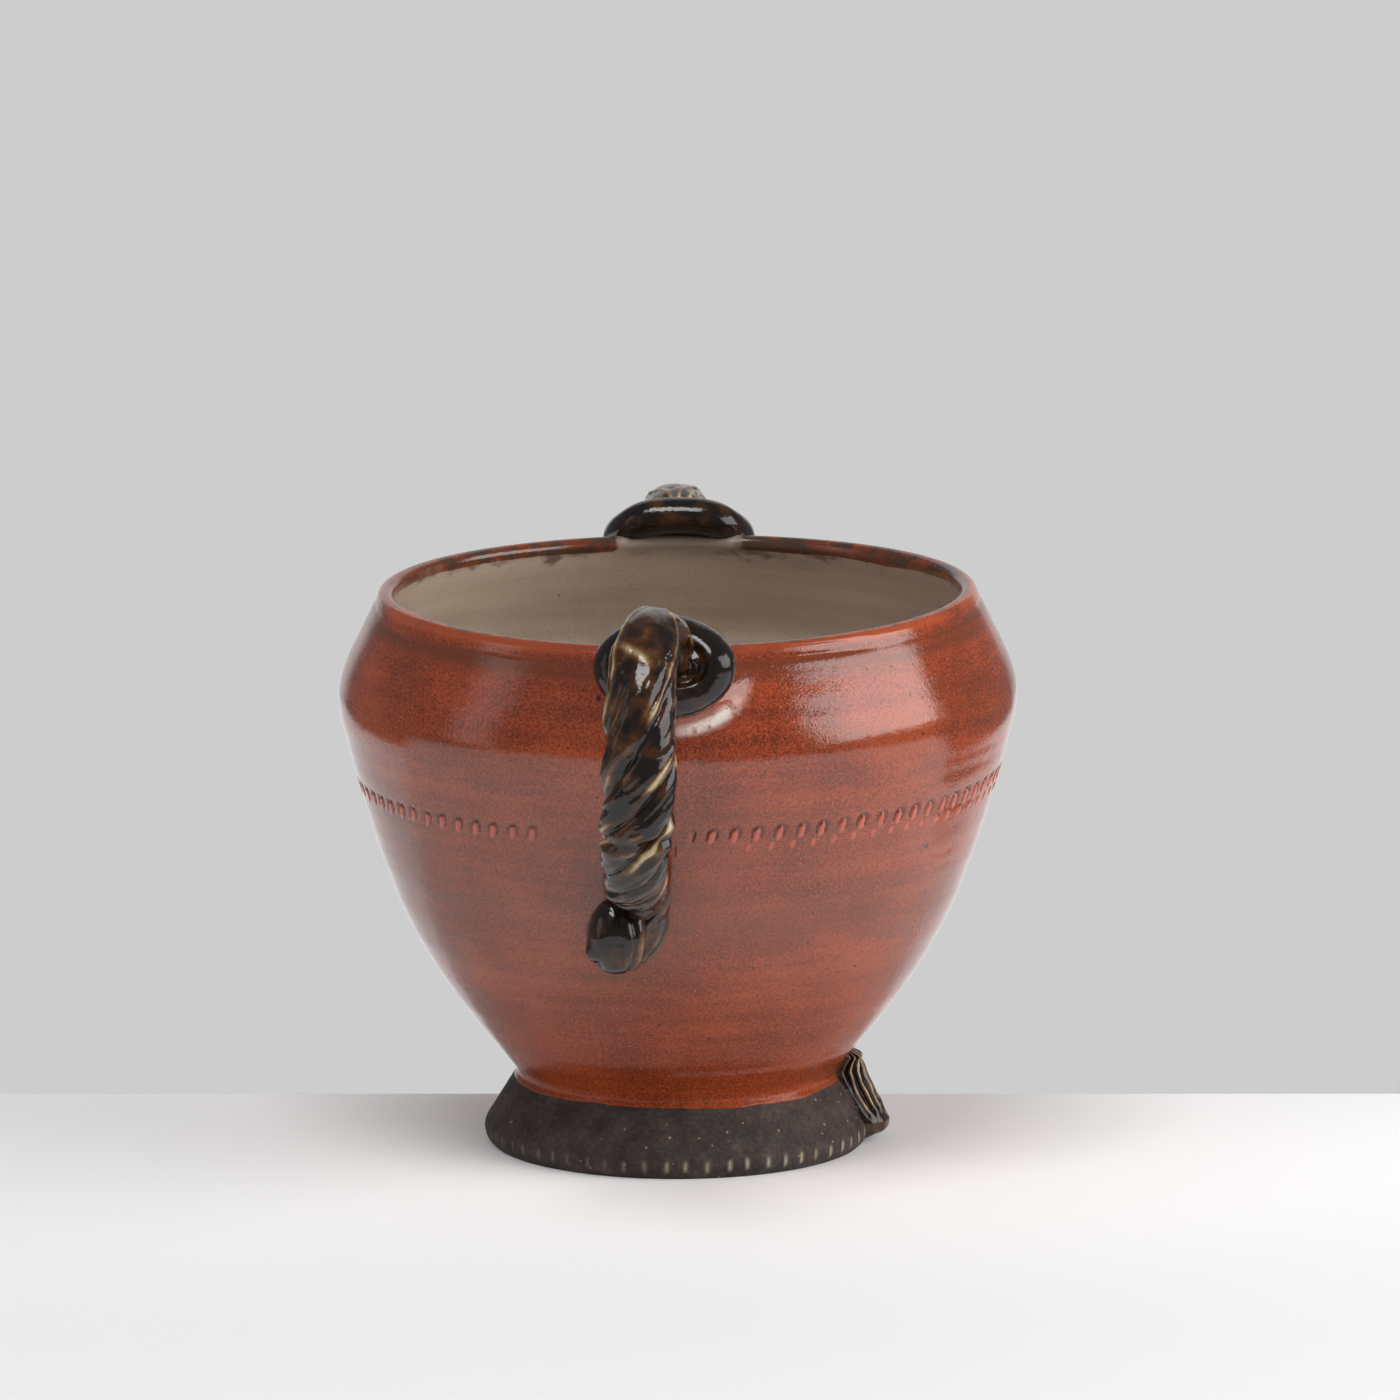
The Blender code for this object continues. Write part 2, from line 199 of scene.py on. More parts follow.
# Folds of a strap's crest: (place round the strap, height as a share of its radius, width)
CREST_FLAP = ((1.85, 0.10, 0.42),)
CREST_EDGES_LEFT = ((1.62, 0.075, 0.080), (1.95, 0.060, 0.075))
CREST_EDGES_RIGHT = ((1.42, 0.060, 0.075),)
CREST_FOLD = ((0.00, 0.07, 0.17),)

# Knobs at the lower ends: middle, half sizes in (out, side, up), and where the stub and its dent point
KNOB_HEIGHT = 0.0473
KNOB_OUT = 0.0078
KNOB_HALF = (0.0056, 0.0050, 0.0067)
STUB_WAY = (0.45, -0.82, -0.36)
DENT_WAY = (0.42, -0.60, -0.70)
POLE_GAP = 0.03

# Each handle is given: bearing, collar, how far it leans aside, crest, lower end and glaze.
# Square 1 makes the collar an ellipse, and less makes it squarer.
FRONT = {
    "name": "front",
    "bearing": math.radians(-92.1),
    "collar_half": (0.0112, 0.0091),
    "over_lip": 0.0012,
    "square": 1.00,
    "lean": -0.0043,
    "crest": 0.0000,
    "end_side": 0.0012,
    "knob_side": -0.0036,
    "crest_tan": -0.05,
    "seed": 51,
}
BACK = {
    "name": "back",
    "bearing": math.radians(89.7),
    "collar_half": (0.0124, 0.0108),
    "over_lip": 0.0030,
    "square": 0.72,
    "lean": 0.0020,
    "crest": -0.0031,
    "end_side": 0.0015,
    "knob_side": -0.0030,
    "crest_tan": 0.06,
    "seed": 61,
}
HANDLES = (FRONT, BACK)

# Mesh density: points round the bowl, how many times finer the stamped band is, and rows of each stretch
COARSE = 216
FINE = 7
BELLY_POINTS = 200
SKIRT_ROWS = 20
BELLY_ROWS = 56
BAND_ROWS = 28
SHOULDER_ROWS = 36
UNDER_LIP_ROWS = 26
LIP_ROWS = 21
INSIDE_ROWS = 80
ROW_GAP = 0.0002
UNDER_LIP_ZONE = 0.0060


def smooth(low, high, value):
    """0 below low, 1 above high, eased between them."""
    share = np.clip((np.asarray(value, float) - low) / (high - low), 0.0, 1.0)
    return share * share * (3.0 - 2.0 * share)


def between(low, high, fade, value):
    """1 from low to high, easing to 0 over this fade on both sides."""
    return smooth(low - fade, low, value) * (1.0 - smooth(high, high + fade, value))


def hump(value, middle, width, power=2):
    """1 at the middle, falling off over this width; flatter on top with a higher power."""
    return np.exp(-(((value - middle) / width) ** power))


def lattice(cell, seed):
    """A repeatable random number from -1 to 1 for each cell."""
    mask = np.int64(0xFFFFFFFF)
    mixed = (cell[..., 0] * 374761393 + cell[..., 1] * 668265263 + cell[..., 2] * 1440662683) & mask
    mixed = (mixed + seed * 97 ^ (mixed >> 13)) * 1274126177 & mask
    return ((mixed ^ (mixed >> 16)) & 0xFFFF) / 32767.5 - 1.0


def cells(index):
    """Lattice cells for whole numbers in a row."""
    return np.stack([index, 0 * index, 0 * index], axis=-1).astype(np.int64)


def bumps(points, size, seed=0):
    """Smooth noise from -1 to 1, with bumps about this size across."""
    scaled = np.asarray(points, float) / size
    cell = np.floor(scaled).astype(np.int64)
    part = scaled - cell
    part = part * part * (3.0 - 2.0 * part)
    total = 0.0
    for corner in np.ndindex(2, 2, 2):
        weight = np.prod(np.where(np.array(corner) == 1, part, 1.0 - part), axis=-1)
        total = total + weight * lattice(cell + np.array(corner), seed)
    return total


def circle(count):
    """Angles evenly spaced round a full turn."""
    return np.linspace(0.0, math.tau, count, endpoint=False)


def grid(rows, columns):
    return np.meshgrid(rows, columns, indexing="ij")


def wrapped(angle):
    """The angle within half a turn of 0."""
    return (angle + math.pi) % math.tau - math.pi


def heading(angle):
    return np.stack([np.cos(angle), np.sin(angle)], axis=-1)


def ring_points(angle):
    """Points on a level circle of radius 1."""
    return np.stack([np.cos(angle), np.sin(angle), 0 * angle], axis=-1)


def bezier(start, pull_start, pull_end, end, count):
    t = np.linspace(0.0, 1.0, count)[:, None]
    s = 1.0 - t
    return s**3 * start + 3 * s * s * t * pull_start + 3 * s * t * t * pull_end + t**3 * end


def spaced(line, count):
    """The line resampled to evenly spaced points."""
    steps = np.linalg.norm(np.diff(line, axis=0), axis=1)
    length = np.concatenate([[0.0], np.cumsum(steps)])
    wanted = np.linspace(0.0, length[-1], count)
    return np.stack([np.interp(wanted, length, column) for column in line.T], axis=-1)


def through(points, count):
    """Smooth curve through the points, evenly spaced along its length."""
    points = np.asarray(points, float)
    padded = np.vstack([2 * points[0] - points[1], points, 2 * points[-1] - points[-2]])
    t = np.linspace(0.0, 1.0, 24, endpoint=False)[:, None]
    runs = []
    for a, b, c, d in zip(padded, padded[1:], padded[2:], padded[3:]):
        bend = 2 * a - 5 * b + 4 * c - d
        swing = 3 * b - a - 3 * c + d
        runs.append(b + 0.5 * ((c - a) * t + bend * t**2 + swing * t**3))
    return spaced(np.vstack(runs + [points[-1:]]), count)


def touching(first, first_radius, second, second_radius):
    """Angle of the normal of the line that touches both circles on their outer side."""
    span = second - first
    return math.atan2(span[1], span[0]) - math.acos((first_radius - second_radius) / np.linalg.norm(span))


# Lines of bowl and foot in the (radius, height) plane
SHOULDER_MIDDLE = np.array([SHOULDER_RADIUS - SHOULDER_ROUND, SHOULDER_HEIGHT])
LIP_MIDDLE = np.array([RIM_RADIUS, RIM_HEIGHT - LIP_RADIUS])
OUTER_ANGLE = touching(SHOULDER_MIDDLE, SHOULDER_ROUND, LIP_MIDDLE, LIP_RADIUS)
INNER_ANGLE = touching(SHOULDER_MIDDLE, SHOULDER_ROUND - WALL, LIP_MIDDLE, -LIP_RADIUS)


def outer_line():
    """Belly curve, shoulder arc and upper wall, from the neck up to the lip."""
    neck = np.array([NECK_RADIUS, NECK_HEIGHT])
    top = SHOULDER_MIDDLE + SHOULDER_ROUND * heading(-BELLY_LEAN)
    chord = np.linalg.norm(top - neck)
    pull_neck = neck + chord * NECK_PULL * heading(math.pi / 2 - NECK_LEAN)
    pull_top = top - chord * BELLY_PULL * heading(math.pi / 2 - BELLY_LEAN)
    belly = bezier(neck, pull_neck, pull_top, top, BELLY_POINTS)
    shoulder = SHOULDER_MIDDLE + SHOULDER_ROUND * heading(np.linspace(-BELLY_LEAN, OUTER_ANGLE, 60))
    return np.vstack([belly, shoulder[1:], LIP_MIDDLE + LIP_RADIUS * heading(OUTER_ANGLE)])


def foot_line():
    """The foot's outside: its rounded edge and the flare up to the neck."""
    edge = np.array([FOOT_RADIUS - FOOT_EDGE_ROUND, FOOT_EDGE_HEIGHT])
    top = np.array([NECK_RADIUS, NECK_HEIGHT])
    flare = touching(edge, FOOT_EDGE_ROUND, top, 0.0)
    low = -math.asin(FOOT_EDGE_HEIGHT / FOOT_EDGE_ROUND)
    return np.vstack([edge + FOOT_EDGE_ROUND * heading(np.linspace(low, flare, 40)), top])


OUTER = outer_line()
FOOT = foot_line()


def wall_radius(height):
    return np.interp(height, OUTER[:, 1], OUTER[:, 0])


def foot_radius(height):
    return np.interp(height, FOOT[:, 1], FOOT[:, 0])


def round_axis(radius, azimuth, height):
    """World points at this radius, azimuth and height."""
    return np.stack([radius * np.sin(azimuth), -radius * np.cos(azimuth), height + 0.0 * radius], axis=-1)


def quads(rows, columns, start=0):
    """Faces of a grid whose columns close on themselves."""
    index = start + np.arange(rows * columns).reshape(rows, columns)
    near = np.roll(index, -1, axis=1)
    return np.stack([index[:-1], near[:-1], near[1:], index[1:]], axis=-1).reshape(-1, 4).tolist()


def capped(rows, columns):
    """Faces of such a grid, with its first and last rows closed."""
    last = (rows - 1) * columns
    return quads(rows, columns) + [list(range(columns))[::-1], list(range(last, last + columns))]


def bridge(rows, columns):
    """Faces from the last row of a grid back to its first."""
    last = (rows - 1) * columns
    return [[last + j, last + (j + 1) % columns, (j + 1) % columns, j] for j in range(columns)]


def add_object(name, data):
    """A new object in the scene."""
    made = bpy.data.objects.new(name, data)
    bpy.context.scene.collection.objects.link(made)
    return made


def make_piece(name, points, faces, values, material, node):
    """A mesh piece in place of a CAD node, with values on its points for its material."""
    mesh = bpy.data.meshes.new(name)
    mesh.from_pydata(points.reshape(-1, 3).tolist(), [], faces)
    mesh.validate()
    for value_name, value in values.items():
        layer = mesh.attributes.new(value_name, "FLOAT", "POINT")
        layer.data.foreach_set("value", np.asarray(value, np.float32).ravel())
    mesh.materials.append(material)
    mesh.shade_smooth()
    piece = add_object(name, mesh)
    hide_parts(node)
    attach(piece, "root")


class Shader:
    """A material's node tree, built call by call."""

    def __init__(self, name):
        self.material = bpy.data.materials.new(name)
        self.material.use_nodes = True
        self.tree = self.material.node_tree
        self.surface = self.tree.nodes["Principled BSDF"]
        self.place = self.tree.nodes.new("ShaderNodeTexCoord").outputs["Object"]

    def feed(self, socket, value):
        """Link a node's output to the socket, or set a constant on it."""
        if isinstance(value, bpy.types.NodeSocket):
            self.tree.links.new(value, socket)
        else:
            socket.default_value = value

    def node(self, kind, inputs, **settings):
        """A new node, with its inputs by socket name or number."""
        made = self.tree.nodes.new("ShaderNode" + kind)
        for key, value in settings.items():
            setattr(made, key, value)
        for key, value in inputs.items():
            self.feed(made.inputs[key], value)
        return made

    def dress(self, inputs):
        """Feed the surface's inputs; gives the material."""
        for key, value in inputs.items():
            self.feed(self.surface.inputs[key], value)
        return self.material

    def math(self, operation, first, second):
        return self.node("Math", {0: first, 1: second}, operation=operation).outputs[0]

    def times(self, first, second):
        return self.math("MULTIPLY", first, second)

    def total(self, start, *parts):
        """Start plus each (value, weight) part."""
        for value, weight in parts:
            start = self.math("ADD", start, self.times(value, weight))
        return start

    def place_axis(self, axis):
        return self.node("SeparateXYZ", {"Vector": self.place}).outputs[axis]

    def noise(self, detail, waves, place=None):
        """Smooth noise about 0.5, with this many waves in a unit."""
        inputs = {"Vector": place or self.place, "Scale": waves, "Detail": detail, "Roughness": 0.55}
        return self.node("TexNoise", inputs).outputs["Fac"]

    def streaks(self, detail, across, up):
        """Noise drawn out to this size across and up."""
        scale = (1.0 / across, 1.0 / across, 1.0 / up)
        stretched = self.node("VectorMath", {0: self.place, 1: scale}, operation="MULTIPLY").outputs[0]
        return self.noise(detail, 1.0, stretched)

    def spots(self, size, share):
        """1 inside small round spots; share is the spots' radius as part of their spacing."""
        spacing = self.node("TexVoronoi", {"Vector": self.place, "Scale": 1.0 / size})
        return self.window(spacing.outputs["Distance"], share, share * 0.55)

    def window(self, value, low, high):
        """0 at low and 1 at high, held outside."""
        inputs = {"Value": value, "From Min": low, "From Max": high}
        return self.node("MapRange", inputs, interpolation_type="SMOOTHSTEP").outputs["Result"]

    def value(self, name):
        """A value stored on the mesh's points."""
        return self.node("Attribute", {}, attribute_name=name).outputs["Fac"]

    def mix(self, share, first, second):
        return self.node("Mix", {"Factor": share, 6: first, 7: second}, data_type="RGBA").outputs[2]

    def layers(self, shade, *coats):
        """A colour under (share, colour) coats, from the first to the last."""
        for share, coat in coats:
            shade = self.mix(share, shade, coat)
        return shade

    def ramp(self, value, stops):
        """Colour that runs through the (position, colour) stops."""
        made = self.node("ValToRGB", {"Fac": value})
        elements = made.color_ramp.elements
        while len(elements) < len(stops):
            elements.new(0.5)
        for element, (position, shade) in zip(elements, stops):
            element.position = position
            element.color = shade
        return made.outputs["Color"]

    def bump(self, height, distance, below=None):
        """Normal of a bump this high, on top of the one below."""
        made = self.node("Bump", {"Height": height, "Distance": distance})
        if below is not None:
            self.feed(made.inputs["Normal"], below)
        return made.outputs["Normal"]


def colour(red, green, blue):
    """Linear colour of an 8-bit screen colour that isn't nearly black."""
    return (*[((value / 255 + 0.055) / 1.055) ** 2.4 for value in (red, green, blue)], 1.0)


# Colours; where a colour runs through several, they are (position, colour) from dark to pale
GLAZE_REDS = ((0.34, colour(96, 42, 22)), (0.50, colour(146, 60, 30)), (0.64, colour(174, 78, 42)))
DRY_BROWNS = ((0.3, colour(160, 141, 124)), (0.5, colour(180, 160, 142)), (0.7, colour(194, 176, 158)))
CLAY_BROWNS = ((0.35, colour(42, 34, 32)), (0.5, colour(60, 50, 47)), (0.66, colour(78, 67, 62)))
THICK_BROWNS = ((0.12, colour(22, 15, 12)), (0.34, colour(64, 37, 18)))
THIN_BROWNS = ((0.58, colour(108, 76, 44)), (0.90, colour(190, 172, 134)))
SPECK_BLACK = colour(38, 20, 16)
SPOT_BROWN = colour(50, 30, 24)
BURNT_OUTSIDE = colour(70, 48, 36)
BURNT_INSIDE = colour(112, 90, 74)
DRY_SPECK_BROWN = colour(84, 70, 60)
LAP_PAINTED_SHADE = colour(104, 90, 78)
GROOVE_BROWN = colour(84, 38, 27)
PIT_BROWN = colour(84, 40, 26)
RUST = colour(104, 50, 24)
UNDER_LIP_RUST = colour(104, 50, 26)
LIP_RED = colour(166, 74, 40)
TONGUE_RED = colour(190, 84, 62)
FLECK_TAN = colour(184, 104, 72)
RUN_PINK = colour(190, 100, 76)
GROG_TAN = colour(150, 128, 112)
NICK_CREAM = colour(176, 164, 140)
PAINTED_HIGHLIGHT_WHITE = colour(238, 222, 212)

# Patterns: streaks (detail, across, up), spots (spacing, radius share), noise (detail, waves in a metre)
RED_STREAKS = (4.0, 0.045, 0.0022)
RUST_STREAKS = (5.0, 0.045, 0.014)
DRY_STREAKS = (5.0, 0.05, 0.004)
BURNT_PATCHES = (5.0, 0.004, 0.0024)
FLECKS = (0.0019, 0.10)
SPECKS = (0.0042, 0.075)
SPOTS = (0.012, 0.050)
PITS = (0.0013, 0.17)
DIMPLES = (0.0035, 0.06)
DRY_SPECKS = (0.0070, 0.045)
FINE_GROG = (0.0024, 0.10)
COARSE_GROG = (0.0041, 0.075)
CLOUDS = (3.0, 55.0)
GRAIN = (2.0, 2700.0)
PEEL = (2.0, 420.0)
PIT_FIELDS = (2.0, 300.0)
HIGHLIGHT_BREAKUP = (4.0, 500.0)
CLAY_CLOUDS = (5.0, 240.0)
CLAY_GRAIN = (3.0, 1500.0)
CLAY_BUMPS = (4.0, 900.0)
BROWN_CLOUDS = (4.0, 260.0)
BROWN_BUMPS = (2.0, 330.0)
BROWN_GRAIN = (2.0, 1500.0)

# Heights of the fine bumps
PEEL_HEIGHT = 0.00005
GRAIN_HEIGHT = 0.00003
DIMPLE_HEIGHT = -0.0001
CLAY_BUMP_HEIGHT = 0.00025
BROWN_BUMP_HEIGHT = 0.00014
BROWN_GRAIN_HEIGHT = 0.00004

# Heights on the bowl between which the belly's rust and the gloss grow to their full share
RUST_RISE = (0.076, 0.060)
GLOSS_RISE = (0.022, 0.050)


def red_coat(paint, streaks, clouds, grain, height):
    """Outside: streaked iron red, rustier on the belly, with flecks, specks, pits and a painted highlight
    by the front collar.
    """
    tone = paint.total(-0.275, (streaks, 0.30), (clouds, 0.45), (grain, 0.80))
    rusty = paint.window(paint.streaks(*RUST_STREAKS), 0.46, 0.68)
    rust = paint.total(0.0, (rusty, 0.34), (paint.window(height, *RUST_RISE), 0.30))
    lip = paint.times(paint.value("lip"), paint.window(clouds, 0.25, 0.55))
    under_lip = paint.times(paint.value("under_lip"), paint.window(streaks, 0.3, 0.6))
    # Noise that breaks the painted highlight into patches
    broken_highlight = paint.window(paint.noise(*HIGHLIGHT_BREAKUP), 0.30, 0.55)
    flecks = paint.times(paint.spots(*FLECKS), paint.window(grain, 0.42, 0.58))
    specks = paint.times(paint.spots(*SPECKS), paint.window(clouds, 0.4, 0.6))
    pitted = paint.window(paint.noise(*PIT_FIELDS), 0.40, 0.60)
    return paint.layers(
        paint.ramp(tone, GLAZE_REDS),
        (rust, RUST),
        (lip, LIP_RED),
        (under_lip, UNDER_LIP_RUST),
        # Painted highlight: near-white paint where the glaze mirrors a soft box below the front collar
        (paint.times(paint.value("painted_highlight"), broken_highlight), PAINTED_HIGHLIGHT_WHITE),
        (paint.value("groove"), GROOVE_BROWN),
        (paint.value("tongue"), TONGUE_RED),
        (flecks, FLECK_TAN),
        (specks, SPECK_BLACK),
        (paint.spots(*SPOTS), SPOT_BROWN),
        (paint.times(paint.spots(*PITS), pitted), PIT_BROWN),
    )


def dry_coat(paint, clouds, grain):
    """Inside: dry grey-brown with streaks and specks, with painted shade under a collar's lap."""
    streaks = paint.streaks(*DRY_STREAKS)
    tone = paint.total(-0.15, (streaks, 0.6), (clouds, 0.3), (grain, 0.4))
    specks = paint.times(paint.spots(*DRY_SPECKS), 0.7)
    # Painted shade: the dry inside is darkened under a collar's lap, where the coil shades it
    lap_and_shade = paint.times(paint.value("lap_and_shade"), 0.75)
    return paint.layers(paint.ramp(tone, DRY_BROWNS), (specks, DRY_SPECK_BROWN), (lap_and_shade, LAP_PAINTED_SHADE))


def red_glaze():
    """Glossy iron-speckled red outside, dry grey-brown inside, burnt along the lip."""
    paint = Shader("red_glaze")
    streaks = paint.streaks(*RED_STREAKS)
    clouds = paint.noise(*CLOUDS)
    grain = paint.noise(*GRAIN)
    height = paint.place_axis("Z")
    ragged = paint.math("SUBTRACT", clouds, 0.5)
    inside = paint.window(paint.total(paint.value("inside"), (ragged, 0.35)), 0.44, 0.54)
    red = red_coat(paint, streaks, clouds, grain, height)
    shade = paint.mix(inside, red, dry_coat(paint, clouds, grain))
    patches = paint.streaks(*BURNT_PATCHES)
    patches = paint.window(paint.total(patches, (paint.value("burnt"), 0.30)), 0.58, 0.76)
    burnt = paint.times(paint.window(paint.value("burnt"), 0.0, 0.25), patches)
    shade = paint.mix(burnt, shade, paint.mix(inside, BURNT_OUTSIDE, BURNT_INSIDE))
    normal = paint.bump(paint.noise(*PEEL), PEEL_HEIGHT)
    normal = paint.bump(grain, GRAIN_HEIGHT, normal)
    normal = paint.bump(paint.spots(*DIMPLES), DIMPLE_HEIGHT, normal)
    surface = {
        "Base Color": shade,
        "Roughness": paint.total(0.04, (inside, 0.46)),
        "Specular IOR Level": paint.total(0.16, (paint.window(height, *GLOSS_RISE), 0.34)),
        "IOR": 1.74,
        "Normal": normal,
    }
    return paint.dress(surface)


def bare_clay():
    """Dark stoneware with pale grog, paler in the nicks, which painted shade dims on the left."""
    paint = Shader("bare_clay")
    clouds = paint.noise(*CLAY_CLOUDS)
    grain = paint.noise(*CLAY_GRAIN)
    clay = paint.ramp(paint.total(0.0, (clouds, 0.6), (grain, 0.4)), CLAY_BROWNS)
    grog = paint.math("MAXIMUM", paint.spots(*FINE_GROG), paint.spots(*COARSE_GROG))
    clay = paint.layers(clay, (grog, GROG_TAN), (paint.value("nick"), NICK_CREAM))
    normal = paint.bump(paint.noise(*CLAY_BUMPS), CLAY_BUMP_HEIGHT)
    return paint.dress({"Base Color": clay, "Roughness": 0.72, "Specular IOR Level": 0.3, "Normal": normal})


def brown_glaze():
    """Thick dark glaze that turns amber and breaks to tan where it is thin on ridges."""
    paint = Shader("brown_glaze")
    clouds = paint.noise(*BROWN_CLOUDS)
    thin = paint.total(paint.value("ridge"), (paint.math("SUBTRACT", clouds, 0.5), 1.2))
    glaze = paint.mix(paint.value("run"), paint.ramp(thin, THICK_BROWNS + THIN_BROWNS), RUN_PINK)
    normal = paint.bump(paint.noise(*BROWN_BUMPS), BROWN_BUMP_HEIGHT)
    normal = paint.bump(paint.noise(*BROWN_GRAIN), BROWN_GRAIN_HEIGHT, normal)
    return paint.dress({"Base Color": glaze, "Roughness": 0.11, "IOR": 1.55, "Normal": normal})


RED = red_glaze()
CLAY = bare_clay()
BROWN = brown_glaze()

# Values on the bowl's points that its glaze follows, among them a painted highlight and painted shade
BOWL_VALUES = ("lip", "under_lip", "groove", "tongue", "inside", "burnt", "lap_and_shade", "painted_highlight")


def band_height(azimuth):
    return BAND_HEIGHT + BAND_TILT * np.sin(azimuth)


def band_edges(azimuth):
    return band_height(azimuth) - BAND_BELOW, band_height(azimuth) + BAND_ABOVE


def oval(x, y, half):
    """1 inside an oval of these half sizes, with a soft edge."""
    return smooth(1.0, 0.55, (x / half[0]) ** 2 + (y / half[1]) ** 2)


def arch_distance(x, y, radius, leg):
    """Distance to a line that runs up one leg, round an arch and down the other."""
    over = np.abs(np.hypot(x, y) - radius)
    beside = np.hypot(np.abs(x) - radius * (1.0 + STAMP_SPLAY * y / leg), np.minimum(0.0, y + leg))
    return np.where(y > 0.0, over, beside)


def stamps(azimuth, height):
    """(lift, groove, tongue) of the stamped hoods, each with a raised tongue and, on the right, one below.

    The stamps leave out the stretch under the front handle.
    """
    pitch = math.tau / STAMP_COUNT
    reach = wall_radius(BAND_HEIGHT)
    degrees = np.degrees(azimuth)
    index = np.floor(azimuth / pitch)
    key = cells(index)
    bare = smooth(*BAND_STOPS, degrees) * (1.0 - smooth(*BAND_STARTS, degrees))
    strength = (1.0 - bare) * (0.85 + 0.15 * lattice(key, 7))
    y = height - band_height(azimuth) - STAMP_JITTER * lattice(key, 5)
    x = (azimuth - (index + 0.5) * pitch) * reach - STAMP_JITTER * lattice(key, 3) - STAMP_SLANT * y
    hood = arch_distance(x, y - STAMP_RISE, STAMP_RADIUS, STAMP_LEG)
    groove = hump(hood, 0.0, STAMP_WIDTH) * strength
    tongue = oval(x, y + TONGUE_DROP, TONGUE_HALF) * strength
    step = pitch * reach
    low_x = (x + LOW_TONGUE_SHIFT[0] + 0.5 * step) % step - 0.5 * step
    low = oval(low_x, y + LOW_TONGUE_SHIFT[1], LOW_TONGUE_HALF) * strength
    low = low * smooth(*LOW_ROW_STARTS, degrees) * (1.0 - smooth(*LOW_ROW_STOPS, degrees))
    groove = groove * (1.0 - tongue)
    tongue = np.maximum(tongue, 0.85 * low)
    return STAMP_DEPTH * (TONGUE_RISE * tongue - groove), groove, tongue


def uneven(radius, azimuth, height):
    """World points with the rim's hand-made sag and tilt, growing with height."""
    points = round_axis(radius, azimuth, height)
    share = np.clip(height / RIM_HEIGHT, 0.0, 1.0) ** 3
    points[..., 2] += share * (RIM_TILT * points[..., 0] - RIM_DIP * np.cos(azimuth) ** 2)
    return points


def glaze_edge(azimuth):
    """Height at which the red glaze stops on the foot."""
    ring = ring_points(azimuth)
    slow, quick = GLAZE_EDGE_WAVES
    return GLAZE_EDGE + slow * bumps(ring, 0.5, 11) + quick * bumps(ring, 0.13, 12)


def skirt_radius(height):
    """Outer radius where the belly runs out on to the foot in a fillet."""
    belly = np.interp(height, OUTER[:, 1], OUTER[:, 0], left=0.0)
    foot = foot_radius(height) + GLAZE_THICKNESS
    share = np.clip(0.5 + 0.5 * (belly - foot) / SKIRT_BLEND, 0.0, 1.0)
    return foot + (belly - foot) * share + SKIRT_BLEND * share * (1.0 - share)


def glaze_overlap(azimuth):
    """How far the red glaze runs in over the lip; most at the back on the right."""
    return 0.04 + 0.16 * hump(np.degrees(wrapped(azimuth)), 134.0, 13.0)


def burnt_share(azimuth):
    """How dark the inner edge of the lip is; most beside the back handle."""
    return 0.14 + 0.95 * hump(azimuth, math.pi, 0.52)


def collar_side(handle, azimuth):
    """Place aside of a handle's middle; 1 and -1 are the sides of its collar."""
    return wrapped(azimuth - (handle["bearing"] + math.pi / 2)) * RIM_RADIUS / handle["collar_half"][0]


def collar_place(handle, azimuth, height):
    """(share, turn) of a place on the wall round a handle's collar: share 1 is the collar's outline."""
    side = collar_side(handle, azimuth)
    climb = (height - COLLAR_HEIGHT) / math.cos(OUTER_ANGLE) / handle["collar_half"][1]
    return np.hypot(side, climb), np.arctan2(climb, side)


def collar_fillet(handle, azimuth, height):
    """Slip smeared into the joint round a collar, most at its lower right."""
    share, turn = collar_place(handle, azimuth, height)
    most = 0.30 + 0.70 * hump(turn, -0.95, 0.85, 4)
    slope = np.clip((FILLET_REACH - share) / (FILLET_REACH - FILLET_INNER), 0.0, 1.0)
    return FILLET_HEIGHT * most * slope**2 * (1.0 - smooth(0.1, 0.6, np.sin(turn)))


def painted_highlight_place(azimuth, height):
    """1 where a painted highlight, a soft box's reflection drawn near-white, lies in the joint at the lower
    right of the front collar.
    """
    share, turn = collar_place(FRONT, azimuth, height)
    return hump(share, 1.12, 0.12, 4) * hump(turn, -0.98, 0.42, 4)


def collar_lap(azimuth):
    """1 where a handle's collar laps over the lip."""
    return sum(hump(collar_side(handle, azimuth), 0.0, 1.0, 4) for handle in HANDLES)


def lip_groove(azimuth, height):
    """Fine groove under the lip, deeper and shallower as it goes round."""
    ring = ring_points(azimuth)
    middle = RIM_HEIGHT - GROOVE_BELOW + GROOVE_WAVE * bumps(ring, 0.35, 15)
    depth = GROOVE_DEPTH * (0.75 + 0.5 * bumps(ring, 0.22, 16) + 0.35 * bumps(ring, 0.05, 17))
    return depth * hump(height, middle, GROOVE_WIDTH)


def throwing_rings(height):
    """Fine rings that the potter's fingers left."""
    ring = np.stack([0 * height, 0 * height, height], axis=-1)
    coarse, fine = THROWING_SIZES
    return THROWING_DEPTH * (bumps(ring, coarse, 21) + 0.6 * bumps(ring, fine, 22))


# Each part of the bowl gives its points and the values on them


def underside_part(azimuth):
    radius, around = grid(UNDERSIDE_RINGS, azimuth)
    return round_axis(radius, around, np.full_like(radius, NECK_HEIGHT - UNDERSIDE_DROP)), {}


def skirt_part(azimuth):
    """From the glaze's edge on the foot up to the belly, with a bead along the edge."""
    share, around = grid(np.linspace(0.0, 1.0, SKIRT_ROWS), azimuth)
    edge = glaze_edge(around)
    height = edge + (SKIRT_TOP - edge) * share**1.6
    bead = BEAD_HEIGHT * np.sqrt(np.clip(share / 0.10, 0.0, 1.0)) - BEAD_SINK
    return round_axis(skirt_radius(height) + bead * (1 - smooth(0.3, 0.9, share)), around, height), {}


